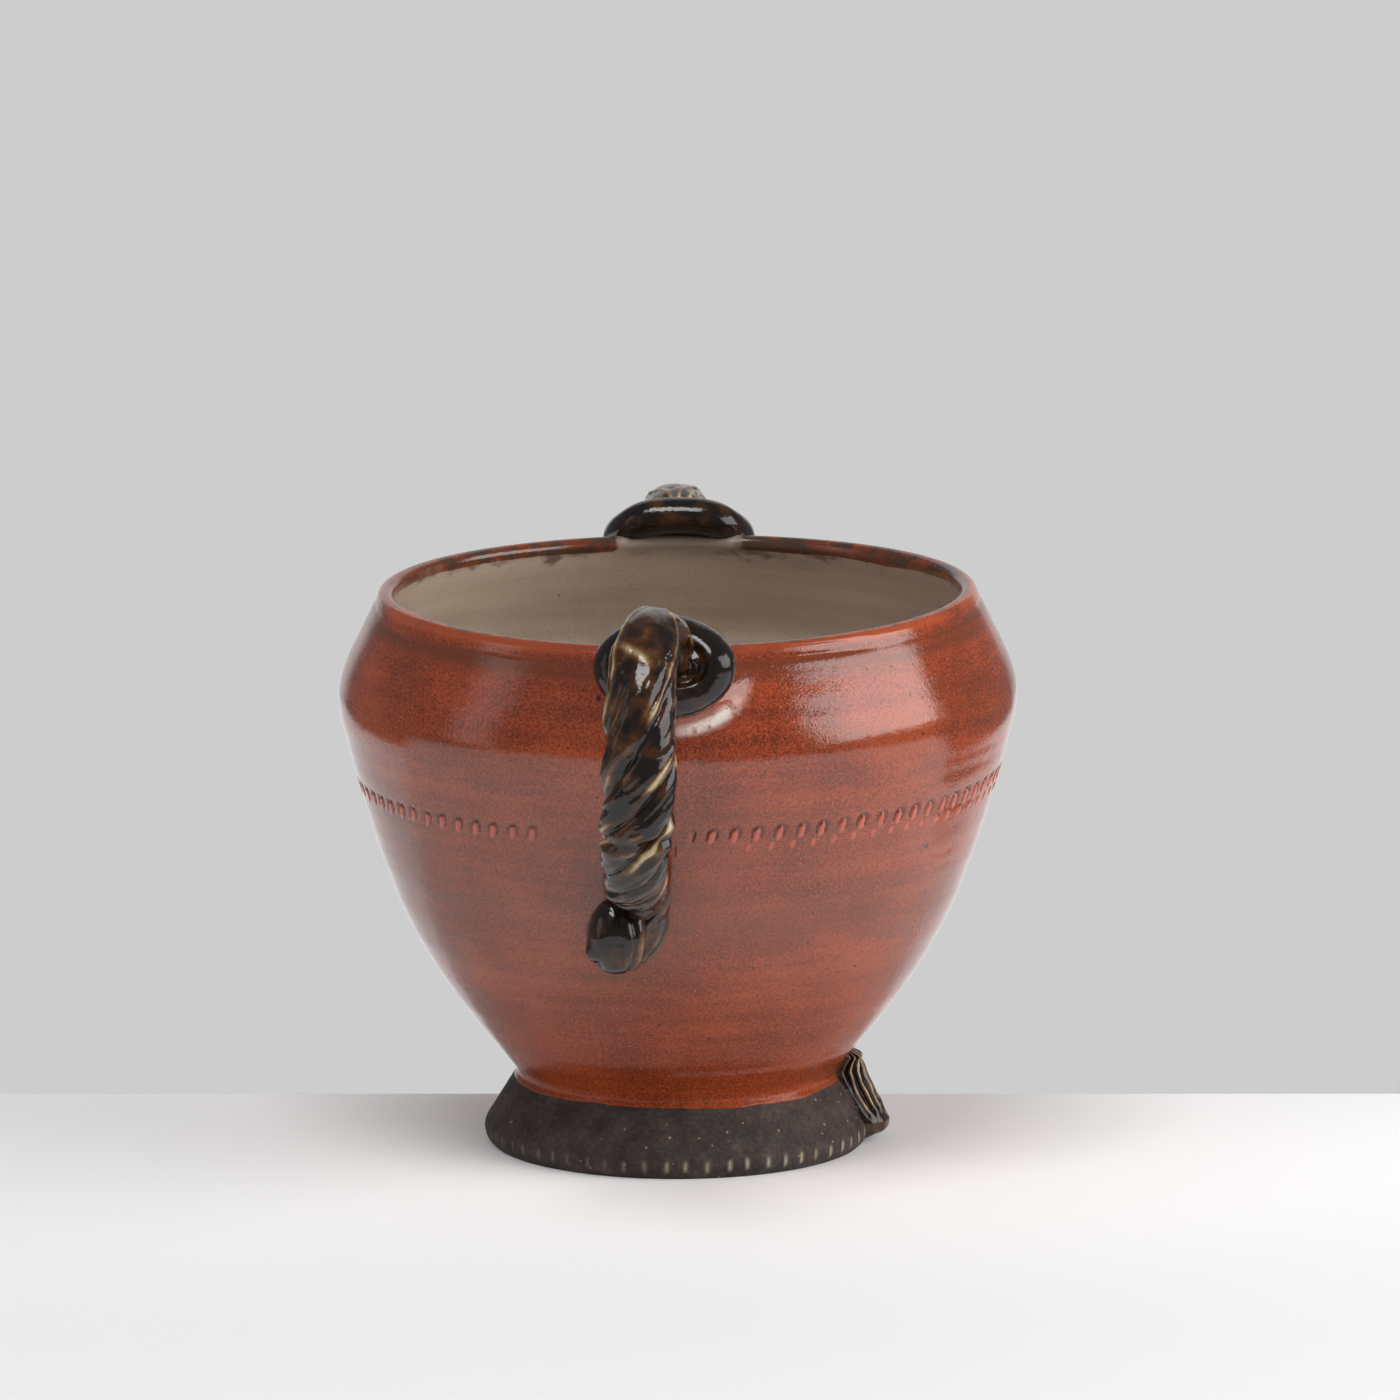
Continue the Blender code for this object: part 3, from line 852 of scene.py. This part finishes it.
def wall_part(low, high, rows, azimuth, stamped=False):
    """Outer wall between two heights, which may change round the bowl."""
    share, around = grid(np.linspace(0.0, 1.0, rows), azimuth)
    height = low + (high - low) * share
    dents = DENT_DEPTH * bumps(round_axis(wall_radius(height), around, height), DENT_SIZE, 4)
    radius = wall_radius(height) + throwing_rings(height + THROWING_RISE * around / math.tau)
    radius = radius + dents * smooth(0.02, 0.05, height)
    radius = radius + sum(collar_fillet(handle, around, height) for handle in HANDLES)
    radius = radius - lip_groove(around, height)
    below_lip = RIM_HEIGHT - height
    values = {
        "under_lip": smooth(0.0072, 0.0040, below_lip) * smooth(0.0018, 0.0032, below_lip),
        "lip": smooth(0.0019, 0.0010, below_lip),
        # Where a soft box's reflection is painted near-white beside the front collar
        "painted_highlight": painted_highlight_place(around, height),
    }
    if stamped:
        lift, values["groove"], values["tongue"] = stamps(wrapped(around), height)
        radius = radius + lift
    return uneven(radius, around, height), values


def lip_part(azimuth):
    """Round lip, from the outer wall over to the inner one."""
    turn, around = grid(np.linspace(OUTER_ANGLE, math.pi + INNER_ANGLE, LIP_ROWS)[1:], azimuth)
    place = LIP_MIDDLE + LIP_RADIUS * heading(turn)
    radius, height = place[..., 0], place[..., 1]
    # Where a collar laps over the lip; the same mask carries painted shade on the dry glaze there
    lap_and_shade = collar_lap(around)
    bare = smooth(1.0, 2.8, turn) * (0.46 - glaze_overlap(around))
    values = {
        "lip": 1.0 - smooth(1.2, 1.7, turn),
        "under_lip": smooth(1.2, 1.8, turn),
        "inside": np.maximum(bare, lap_and_shade * smooth(0.4, 1.0, turn)),
        "burnt": 1.2 * smooth(0.9, 1.5, turn) * np.maximum(0.40, burnt_share(around)) * (1.0 - lap_and_shade),
        "lap_and_shade": lap_and_shade,
    }
    return uneven(radius, around, height), values


def inner_line():
    """Line of the inner wall and floor, from the lip down."""
    start = LIP_MIDDLE + LIP_RADIUS * heading(math.pi + INNER_ANGLE)
    turn = np.linspace(INNER_ANGLE, -BELLY_LEAN, 24)
    shoulder = SHOULDER_MIDDLE + (SHOULDER_ROUND - WALL) * heading(turn)
    outer = OUTER[OUTER[:, 1] < SHOULDER_MIDDLE[1]][:BELLY_POINTS:4]
    run = np.gradient(outer, axis=0)
    normal = np.stack([run[:, 1], -run[:, 0]], axis=-1) / np.linalg.norm(run, axis=1)[:, None]
    belly = (outer - WALL * normal)[::-1]
    floor_top = NECK_HEIGHT + FLOOR
    belly = belly[belly[:, 1] > floor_top + FLOOR_ROUND]
    bend = np.array([0.5 * (outer[0, 0] + belly[-1, 0]) - FLOOR_BEND, floor_top])
    floor = bezier(belly[-1], 0.3 * belly[-1] + 0.7 * bend, bend, np.array([FLOOR_HOLE, floor_top]), 30)
    return spaced(np.vstack([start, shoulder, belly[1:], floor[1:]]), INSIDE_ROWS)


def inside_part(azimuth):
    """Inner wall and floor."""
    line = inner_line()[1:]
    height, around = grid(line[:, 1], azimuth)
    radius = line[:, :1] + throwing_rings(height) * smooth(0.0, 0.02, line[:, :1])
    below_lip = RIM_HEIGHT - height
    depth = smooth(0.0014, 0.0052, below_lip)
    # Where a collar laps over the lip; the same mask carries painted shade on the dry glaze below it
    lap_and_shade = collar_lap(around)
    overlap = glaze_overlap(around) * (1.0 - lap_and_shade)
    values = {
        "inside": np.maximum(0.46 - overlap + (0.54 + overlap) * depth, lap_and_shade),
        "burnt": burnt_share(around) * (1.0 - 0.8 * lap_and_shade) * smooth(0.0060, 0.0018, below_lip),
        "lap_and_shade": lap_and_shade * (1.0 - depth),
    }
    return uneven(radius, around, height), values


def stitches(coarse_start, fine_start, up):
    """Faces between a coarse ring and the fine ring beside it."""
    faces = []
    for j in range(COARSE):
        near = (j + 1) % COARSE
        fine = [fine_start + (j * FINE + k) % (COARSE * FINE) for k in range(FINE + 1)]
        face = [coarse_start + j, coarse_start + near] + fine[::-1]
        faces.append(face if up else face[::-1])
    return faces


def build_bowl():
    """The bowl, ring by ring from its underside out, up, over the lip and down inside."""
    coarse, fine = circle(COARSE), circle(COARSE * FINE)
    band_low, band_high = band_edges(coarse)
    lip_low = RIM_HEIGHT - UNDER_LIP_ZONE
    below = [
        underside_part(coarse),
        skirt_part(coarse),
        wall_part(SKIRT_TOP + ROW_GAP, band_low - ROW_GAP, BELLY_ROWS, coarse),
    ]
    band = [wall_part(*band_edges(fine), BAND_ROWS, fine, stamped=True)]
    above = [
        wall_part(band_high + ROW_GAP, lip_low, SHOULDER_ROWS, coarse),
        wall_part(lip_low + ROW_GAP, OUTER[-1, 1], UNDER_LIP_ROWS, coarse),
        lip_part(coarse),
        inside_part(coarse),
    ]
    parts = below + band + above
    points = np.vstack([place.reshape(-1, 3) for place, _ in parts])
    values = {}
    for key in BOWL_VALUES:
        shares = [np.broadcast_to(given.get(key, 0.0), place.shape[:-1]) for place, given in parts]
        values[key] = np.concatenate([share.ravel() for share in shares])
    stretches = (below, band, above)
    rows_below, rows_band, rows_above = [sum(len(place) for place, _ in part) for part in stretches]
    band_start = rows_below * COARSE
    above_start = band_start + rows_band * COARSE * FINE
    faces = quads(rows_below, COARSE)
    faces += quads(rows_band, COARSE * FINE, band_start)
    faces += quads(rows_above, COARSE, above_start)
    faces += stitches(band_start - COARSE, band_start, up=True)
    faces += stitches(above_start, above_start - COARSE * FINE, up=False)
    faces.append(list(range(len(points) - COARSE, len(points))))
    faces.append(list(range(COARSE))[::-1])
    make_piece("glazed_bowl", points, faces, values, RED, "bowl")


def foot_section():
    """The foot's closed line, and how many of its points are outside."""
    outer = spaced(FOOT, 48)
    top = np.linspace(outer[-1], [NECK_RADIUS - FOOT_WALL, NECK_HEIGHT], 5)[1:]
    base = [FOOT[0, 0] - FOOT_BASE_WIDTH, 0.0]
    inner = np.linspace(top[-1], base, 12)[1:]
    return np.vstack([outer, top, inner, np.linspace(base, outer[0], 5)[1:]]), len(outer)


def nicks(azimuth, height):
    """1 inside the nicks along the foot's edge, some weaker than others."""
    pitch = math.tau / NICK_COUNT
    index = np.floor(azimuth / pitch)
    key = cells(index)
    across = (azimuth - (index + 0.5 + 0.10 * lattice(key, 31)) * pitch) * FOOT_RADIUS
    middle = NICK_HEIGHT + NICK_WAVE * lattice(key, 32)
    nick = hump(across, 0.0, NICK_WIDTH) * hump(height, middle, NICK_LENGTH, 4)
    return nick * (0.75 + 0.25 * lattice(key, 33))


def build_foot():
    """Foot ring with a row of pale nicks along its lower edge, dimmed by painted shade towards the left."""
    columns = NICK_COUNT * 12
    line, outside = foot_section()
    radius, around = grid(line[:, 0], circle(columns))
    height = np.broadcast_to(line[:, 1:], radius.shape)
    on_outside = np.arange(len(line))[:, None] < outside
    nick = nicks(around, height) * on_outside
    # Painted shade: the pale nicks are drawn fainter towards the left, the side away from the main soft
    # boxes
    pale_marks = nick * (0.30 + 0.70 * smooth(-0.45, 0.10, np.sin(around)))
    even = round_axis(radius, around, height)
    fine, coarse = FINE_ROUGHNESS, COARSE_ROUGHNESS
    rough = fine[0] * bumps(even, fine[1], 34) + coarse[0] * bumps(even, coarse[1], 35)
    rough = on_outside * smooth(*ROUGH_ABOVE, height) * rough
    points = round_axis(radius + rough - NICK_DEPTH * nick, around, height)
    faces = quads(len(line), columns)
    make_piece("clay_foot", points, faces, {"nick": pale_marks}, CLAY, "foot_ring")


def build_strap():
    """Ribbed strap pressed over the joint of bowl and foot, curled at its top, with a smooth end below."""
    rows, columns = 110, 150
    height = np.linspace(STRAP_BASE, STRAP_TOP, rows)
    surface = np.where(height >= NECK_HEIGHT, wall_radius(height), foot_radius(height))
    share = np.clip((height - STRAP_BULGE) / (STRAP_TOP - STRAP_BULGE), 0.0, 1.0)
    low, high = FOOT_RADIUS + STRAP_OUT, wall_radius(STRAP_TOP) + STRAP_TOP_OUT
    crest = low + (high - low) * share - STRAP_TUCK * (1 - smooth(0.0, STRAP_BULGE, height)) ** 2
    half = (STRAP_HALF - STRAP_TAPER * smooth(0.25, 1.0, share))[:, None]
    along, turn = grid(share, np.linspace(0.0, math.pi, columns))
    key = np.stack([2.0 * turn, 4.0 * along, 0.0 * turn], axis=-1)
    lean = turn + 0.12 * np.sin(5.0 * along) + 0.07 * bumps(key, 0.8, 71)
    ribs = np.abs(np.cos(STRAP_RIBS * lean))
    ribbed = smooth(0.04, 0.22, along) * between(0.50, math.pi - 0.50, 0.20, turn)
    cut = RIB_DEPTH * (1.0 - ribs) ** 1.2 * ribbed
    place = np.linspace(0.0, 1.0, rows)[:, None]
    curl = STRAP_CURL * hump(place, 0.93, 0.045)
    ends = np.sqrt(smooth(0.0, 0.10, place) * (1.0 - smooth(0.90, 1.0, place)))
    thick = (crest - surface)[:, None] + STRAP_SINK - cut + curl + STRAP_LUMPS * bumps(key, 0.5, 72)
    radius = surface[:, None] - STRAP_SINK + thick * np.sin(turn) * ends
    sway = STRAP_SWAY * np.sin(6.0 * along)
    azimuth = math.pi / 2 + (sway - (half - cut) * np.cos(turn)) / surface[:, None]
    points = round_axis(radius, azimuth, height[:, None])
    faces = capped(rows, columns)
    values = {
        "ridge": 0.20 + 0.56 * ribs**9 * ribbed - 0.15 * (1.0 - ribs) * ribbed,
        "run": hump(turn, 0.07, 0.06) * smooth(0.16, 0.34, along),
    }
    make_piece("ribbed_strap", points, faces, values, BROWN, "foot_strap")


def handle_points(handle, out, side, up):
    """World points of a handle's own out, side and up."""
    ahead, aside = math.cos(handle["bearing"]), math.sin(handle["bearing"])
    return np.stack([out * ahead - side * aside, out * aside + side * ahead, up + 0.0 * out], axis=-1)


def make_handle_piece(handle, word, node, points, faces, ridge):
    """A piece of a handle; ridge says where its glaze is thin."""
    name = handle["name"]
    values = {"ridge": ridge}
    make_piece(name + "_" + word, points, faces, values, BROWN, name + "_handle_" + node)


def build_collar(handle):
    """A fat coil round the handle's root, with a thin inner turn, bent to the wall and over the lip."""
    steps, sides = 128, 52
    turn, around = grid(circle(steps), circle(sides))
    foot = np.array([wall_radius(COLLAR_HEIGHT), COLLAR_HEIGHT])
    normal, along = heading(OUTER_ANGLE), heading(OUTER_ANGLE + math.pi / 2)
    wobble = bumps(ring_points(turn), 0.8, handle["seed"])
    thick = COIL_RADIUS + COIL_SIDE_MORE * np.cos(turn) ** 2 + COIL_WAVE * wobble
    radius = thick * (1.0 - 0.13 * hump(around, 1.95, 0.20) + 0.12 * hump(around, 2.45, 0.30))
    reach = radius * np.cos(around)
    across, up = np.cos(turn), np.sin(turn)
    side = (handle["collar_half"][0] - thick + reach) * np.sign(across) * np.abs(across) ** handle["square"]
    climb = (handle["collar_half"][1] - thick + reach) * np.sign(up) * np.abs(up) ** handle["square"]
    over_lip = handle["over_lip"] * smooth(0.0, LIP_BEND, climb)
    out = radius * np.sin(around) + COIL_STAND * thick - over_lip
    place = foot + along * climb[..., None] + normal * out[..., None]
    swing = side / foot[0]
    reach, height = place[..., 0], place[..., 1]
    points = handle_points(handle, reach * np.cos(swing), reach * np.sin(swing), height)
    ridge = 0.10 + 0.12 * bumps(points, 0.004, 5) + 0.40 * hump(around, 2.75, 0.14)
    faces = [face[::-1] for face in quads(steps, sides) + bridge(steps, sides)]
    make_handle_piece(handle, "coil", "collar", points, faces, ridge)


def bands(around, marks):
    """Sum of soft bands at these places round the strap."""
    return sum(height * hump(wrapped(around - place), 0.0, width) for place, height, width in marks)


def rope_frame(handle, share):
    """Middle line of the strap and its directions across and outward, in (out, side, up)."""
    route = through([(out, up + part * handle["crest"]) for out, up, part in ROPE_ROUTE], len(share))
    side = handle["lean"] * np.sin(math.pi / 2 * share**0.7) + ROPE_SWAY * np.sin(17.0 * share)
    side = side + handle["end_side"] * (smooth(0.82, 0.92, share) - 0.7 * smooth(0.94, 1.0, share))
    middle = np.stack([route[:, 0], side, route[:, 1]], axis=-1)
    run = np.gradient(middle, axis=0)
    run /= np.linalg.norm(run, axis=1)[:, None]
    across = np.array([0.0, 1.0, 0.0]) - run * run[:, 1:2]
    across /= np.linalg.norm(across, axis=1)[:, None]
    return middle, across, np.cross(run, across)


def rope_halves(share):
    """Half width and depth: full root, round crest, slimmer twist and flat end."""
    root = 1.0 - smooth(0.0, 0.09, share)
    press = smooth(*FLAT_END, share)
    full = ROPE_HALF + CREST_MORE * smooth(0.10, 0.26, share) - TWIST_LESS * smooth(0.40, 0.90, share)
    wide = (full + ROOT_MORE[0] * root) * (1 - press) + END_HALF[0] * press
    wide = wide * np.sqrt(1.0 - 0.75 * np.clip((share - 0.92) / 0.08, 0.0, 1.0) ** 2)
    deep = (ROPE_FLATNESS * full + ROOT_MORE[1] * root) * (1 - press) + END_HALF[1] * press
    return wide, deep


def crest_folds(strand, along, wander):
    """(flap, edges, fold, tuck): the crest's flap, thin edges, fold at the collar and short crease."""
    flap = bands(strand, CREST_FLAP) * between(0.07, 0.24, 0.06, along)
    spread = smooth(0.07, 0.21, along)
    edges = bands(strand - 0.42 * spread + 0.3 * wander, CREST_EDGES_LEFT)
    edges = edges + bands(strand + 1.25 * spread + 0.3 * wander, CREST_EDGES_RIGHT)
    edges = edges * between(0.06, 0.34, 0.05, along)
    fold = bands(strand, CREST_FOLD) * between(0.045, 0.095, 0.03, along)
    tuck = hump(along - TUCK_SHARE + 0.035 * (strand - 1.57), 0.0, 0.010) * hump(strand, 1.50, 0.62, 4)
    return flap, edges, fold, tuck


def build_rope(handle):
    """The strap: a smooth folded crest, then four lobes twisted tighter and tighter down to the belly."""
    rings, sides = 320, 96
    seed = handle["seed"]
    share = np.linspace(0.0, 1.0, rings)
    middle, across, outward = rope_frame(handle, share)
    wide, deep = rope_halves(share)
    along, strand = grid(share, circle(sides))
    key = np.stack([np.cos(strand), np.sin(strand), 9.0 * along], axis=-1)

    # The crest barely turns; below it the lobes run round faster and faster, pinched at one place
    twist = math.tau * (0.10 * smooth(0.0, 0.40, share) + 1.85 * smooth(0.26, 1.06, share))
    angle = strand + twist[:, None]
    wander = 0.30 * bumps(key, 0.9, seed) + 0.10 * bumps(key, 0.3, seed + 1)
    lobe = (LOBES * (strand + wander) / math.tau) % 1.0
    bulge = np.sqrt(4.0 * lobe * (1.0 - lobe))
    twisted = smooth(0.27, 0.44, along) * (1.0 - 0.6 * smooth(*FLAT_END, along))
    depth = LOBE_DEPTH * twisted * (1.0 + 0.60 * bumps(key, 0.7, seed + 4))
    flap, edges, fold, tuck = crest_folds(strand, along, wander)
    lumps = 0.060 * bumps(key, 0.55, seed + 2) + 0.030 * bumps(key, 0.17, seed + 3)
    level = along - PINCH_SHARE + 0.007 * np.cos(angle)
    rolls = hump(np.abs(level), 0.015, 0.006)
    size = 1.0 + depth * (bulge - 0.72) + flap + edges + fold + 0.06 * tuck + lumps
    size = size - 0.09 * hump(level, 0.0, 0.008) + 0.035 * rolls
    points = middle[:, None, :] + across[:, None, :] * (wide[:, None] * size * np.cos(angle))[..., None]
    points = points + outward[:, None, :] * (deep[:, None] * size * np.sin(angle))[..., None]

    # The glaze is thin on edges and on the flanks of the lobes, here and there
    flank = hump(lobe, 0.20, 0.08) * twisted * smooth(-0.25, 0.35, bumps(key, 0.5, seed + 7))
    second = hump(lobe, 0.84, 0.06) * twisted * smooth(0.0, 0.4, bumps(key, 0.4, seed + 8))
    pale_marks = rolls * smooth(-0.3, 0.4, bumps(key, 0.4, seed + 9))
    amber = handle["crest_tan"] * between(0.08, 0.22, 0.06, along) + 0.26 * smooth(0.91, 0.96, along)
    ridge = 0.20 + amber + 9.0 * edges + 7.0 * fold + 0.55 * tuck + 2.2 * lumps
    ridge = ridge + 0.60 * flank + 0.55 * second + 0.40 * pale_marks
    ridge = ridge - 0.35 * twisted * (1.0 - smooth(0.0, 0.5, bulge))
    faces = capped(rings, sides)
    placed = handle_points(handle, *np.moveaxis(points, -1, 0))
    make_handle_piece(handle, "twist", "rope", placed, faces, ridge)


def build_knob(handle):
    """A lumpy pellet with a stub at its lower left and a rolled edge at its right."""
    rows, columns = 70, 110
    seed = handle["seed"]
    pole = math.pi / 2 - POLE_GAP
    tilt, turn = grid(np.linspace(-pole, pole, rows), circle(columns))
    ball = np.stack([np.cos(tilt) * np.cos(turn), np.cos(tilt) * np.sin(turn), np.sin(tilt)], axis=-1)
    stub = np.exp(-np.sum((ball - np.array(STUB_WAY)) ** 2, axis=-1) / 0.05)
    dent = np.exp(-np.sum((ball - np.array(DENT_WAY)) ** 2, axis=-1) / 0.025)
    roll = ball[..., 1] + 0.35 * ball[..., 2] ** 2
    rolled = hump(roll, 0.86, 0.10)
    crease = hump(roll, 0.68, 0.06)
    lumps = 0.06 * bumps(ball, 0.7, seed + 5) + 0.02 * bumps(ball, 0.25, seed + 6)
    size = 1.0 + lumps + 0.20 * stub - 0.09 * dent + 0.06 * rolled - 0.08 * crease
    shape = ball * size[..., None] * np.array(KNOB_HALF)
    out = shape[..., 0] + (wall_radius(KNOB_HEIGHT) + KNOB_OUT)
    side = shape[..., 1] + handle["lean"] + handle["knob_side"]
    points = handle_points(handle, out, side, shape[..., 2] + KNOB_HEIGHT)
    ridge = 0.14 + 0.22 * rolled - 0.2 * crease + 0.20 * stub + 1.5 * lumps
    faces = capped(rows, columns)
    make_handle_piece(handle, "pellet", "knob", points, faces, ridge)


build_bowl()
build_foot()
build_strap()
for handle in HANDLES:
    build_collar(handle)
    build_rope(handle)
    build_knob(handle)

# Studio: a white table near whose back edge the bowl stands, on a grey floor, with soft boxes around
CAMERA_HEIGHT_ANGLE = math.radians(11.4)
CAMERA_DISTANCE = 3.0
FRAME_WIDTH = 0.2372
AIM = Vector((0.0039, 0.0, 0.0760))
TABLE_BACK = 0.034
TABLE_FRONT = -0.44
TABLE_SIDE = 0.42
TABLE_THICKNESS = 0.35
TABLE_FADE = -0.16
TABLE_WHITE = (0.82, 0.82, 0.82, 1.0)
TABLE_BACK_WHITE = (0.92, 0.92, 0.92, 1.0)
TABLE_BACK_GLOW = 0.05
FLOOR_REACH = 8.0
FLOOR_GREY = (0.61, 0.61, 0.61, 1.0)
ROOM_GREY = (0.16, 0.16, 0.165, 1.0)
BLACK = (0.0, 0.0, 0.0, 1.0)
BACKDROP_DISTANCE = 2.2
BACKDROP_LEFT = -1.05
BACKDROP_RIGHT = 0.95
BACKDROP_TOP = 2.4
SWEEP_GLOW = 1.5
SWEEP_RIGHT = 0.75

# Soft boxes as the glaze mirrors them, and as they light the bowl: (name, place, width, height, brightness)
LIGHT_AIM = Vector((0.0, 0.0, 0.05))
SHOWN_LIGHTS = (
    ("shown_right", (1.08, -0.29, 0.485), 1.06, 0.70, 2.7),
    ("shown_left", (-1.00, -0.30, 0.40), 0.30, 0.90, 0.5),
    ("shown_top", (-0.11, -0.41, 1.02), 0.52, 0.40, 6.9),
)
GIVEN_LIGHTS = (
    ("light_right", (1.08, -0.29, 0.36), 1.06, 0.95, 3.3),
    ("light_left", (-1.00, -0.30, 0.40), 0.30, 0.90, 0.6),
    ("light_top", (-0.11, -0.41, 1.02), 0.52, 0.40, 8.8),
    ("fill_left", (-0.75, -0.60, 0.75), 0.45, 0.45, 4.4),
    ("fill_right", (0.62, -0.28, 0.45), 0.45, 0.45, 2.6),
)


def matt(name, shade, glow=0.0):
    """A plain matt surface of this colour, or a glowing one."""
    paint = Shader(name)
    lit = {"Base Color": BLACK if glow else shade, "Roughness": 1.0, "Specular IOR Level": 0.0}
    paint.dress({**lit, "Emission Color": shade, "Emission Strength": glow})
    return paint


def add_stage(paint, corners, faces):
    """A piece of the studio with this surface and its name."""
    name = paint.material.name
    mesh = bpy.data.meshes.new(name)
    mesh.from_pydata(corners, [], faces)
    mesh.materials.append(paint.material)
    stage = add_object(name, mesh)
    return stage


def add_table():
    """White table, whiter and glowing a little towards its back, where less light falls."""
    across, along, up = (-TABLE_SIDE, TABLE_SIDE), (TABLE_FRONT, TABLE_BACK), (-TABLE_THICKNESS, 0.0)
    corners = [(x, y, z) for z in up for y in along for x in across]
    faces = [(4, 5, 7, 6), (0, 1, 5, 4), (1, 3, 7, 5), (3, 2, 6, 7), (2, 0, 4, 6), (0, 2, 3, 1)]
    paint = matt("table", TABLE_WHITE)
    back = paint.window(paint.place_axis("Y"), TABLE_FADE, TABLE_BACK)
    white = paint.mix(back, TABLE_WHITE, TABLE_BACK_WHITE)
    paint.dress({"Base Color": white, "Emission Strength": paint.times(back, TABLE_BACK_GLOW)})
    add_stage(paint, corners, faces)


def level_sheet(left, right, front, back):
    """Corners of a rectangle at the height of the floor."""
    turns = ((left, front), (right, front), (right, back), (left, back))
    return [(x, y, -TABLE_THICKNESS) for x, y in turns]


def add_floor():
    """Grey floor that only the camera sees, so that it fills every view evenly."""
    corners = level_sheet(-FLOOR_REACH, FLOOR_REACH, -FLOOR_REACH, FLOOR_REACH)
    floor = add_stage(matt("floor", FLOOR_GREY, 1.0), corners, [(0, 1, 2, 3)])
    floor.visible_diffuse = False
    floor.visible_glossy = False
    floor.visible_shadow = False


def add_backdrop():
    """Lit wall behind the bowl and sweep below it that only show as pale edges in its glaze."""
    low, high = -TABLE_THICKNESS, BACKDROP_TOP
    turns = ((BACKDROP_LEFT, low), (BACKDROP_RIGHT, low), (BACKDROP_RIGHT, high), (BACKDROP_LEFT, high))
    upright = [(x, BACKDROP_DISTANCE, z) for x, z in turns]
    wall = add_stage(matt("backdrop", FLOOR_GREY, 1.0), upright, [(0, 1, 2, 3)])
    level = level_sheet(BACKDROP_LEFT, SWEEP_RIGHT, TABLE_BACK, BACKDROP_DISTANCE)
    sweep = add_stage(matt("sweep", FLOOR_GREY, SWEEP_GLOW), level, [(0, 1, 2, 3)])
    for piece in (wall, sweep):
        piece.visible_camera = False
        piece.visible_shadow = False


def add_softbox(name, place, width, height, brightness):
    """A rectangular lamp turned to the bowl, as bright as this whatever its size."""
    light = bpy.data.lights.new(name, "AREA")
    light.shape = "RECTANGLE"
    light.size = width
    light.size_y = height
    light.energy = brightness * math.pi * width * height
    box = add_object(name, light)
    box.location = place
    box.rotation_euler = (LIGHT_AIM - Vector(place)).to_track_quat("-Z", "Y").to_euler()
    return box


def add_room():
    """Dim even light from all round."""
    world = bpy.data.worlds.new("studio")
    world.use_nodes = True
    world.node_tree.nodes["Background"].inputs["Color"].default_value = ROOM_GREY
    bpy.context.scene.world = world


def add_camera():
    """Camera far in front, looking down a little."""
    lens = bpy.data.cameras.new("camera")
    lens.sensor_width = 36.0
    lens.lens = lens.sensor_width * CAMERA_DISTANCE / FRAME_WIDTH
    lens.clip_end = 20.0
    camera = add_object("camera", lens)
    back = Vector((0.0, -math.cos(CAMERA_HEIGHT_ANGLE), math.sin(CAMERA_HEIGHT_ANGLE)))
    camera.location = AIM + back * CAMERA_DISTANCE
    camera.rotation_euler = (-back).to_track_quat("-Z", "Y").to_euler()
    bpy.context.scene.camera = camera


add_table()
add_floor()
add_backdrop()
for box in SHOWN_LIGHTS:
    add_softbox(*box).visible_diffuse = False
for box in GIVEN_LIGHTS:
    add_softbox(*box).visible_glossy = False
add_room()
add_camera()
bpy.context.scene.view_settings.view_transform = "Standard"
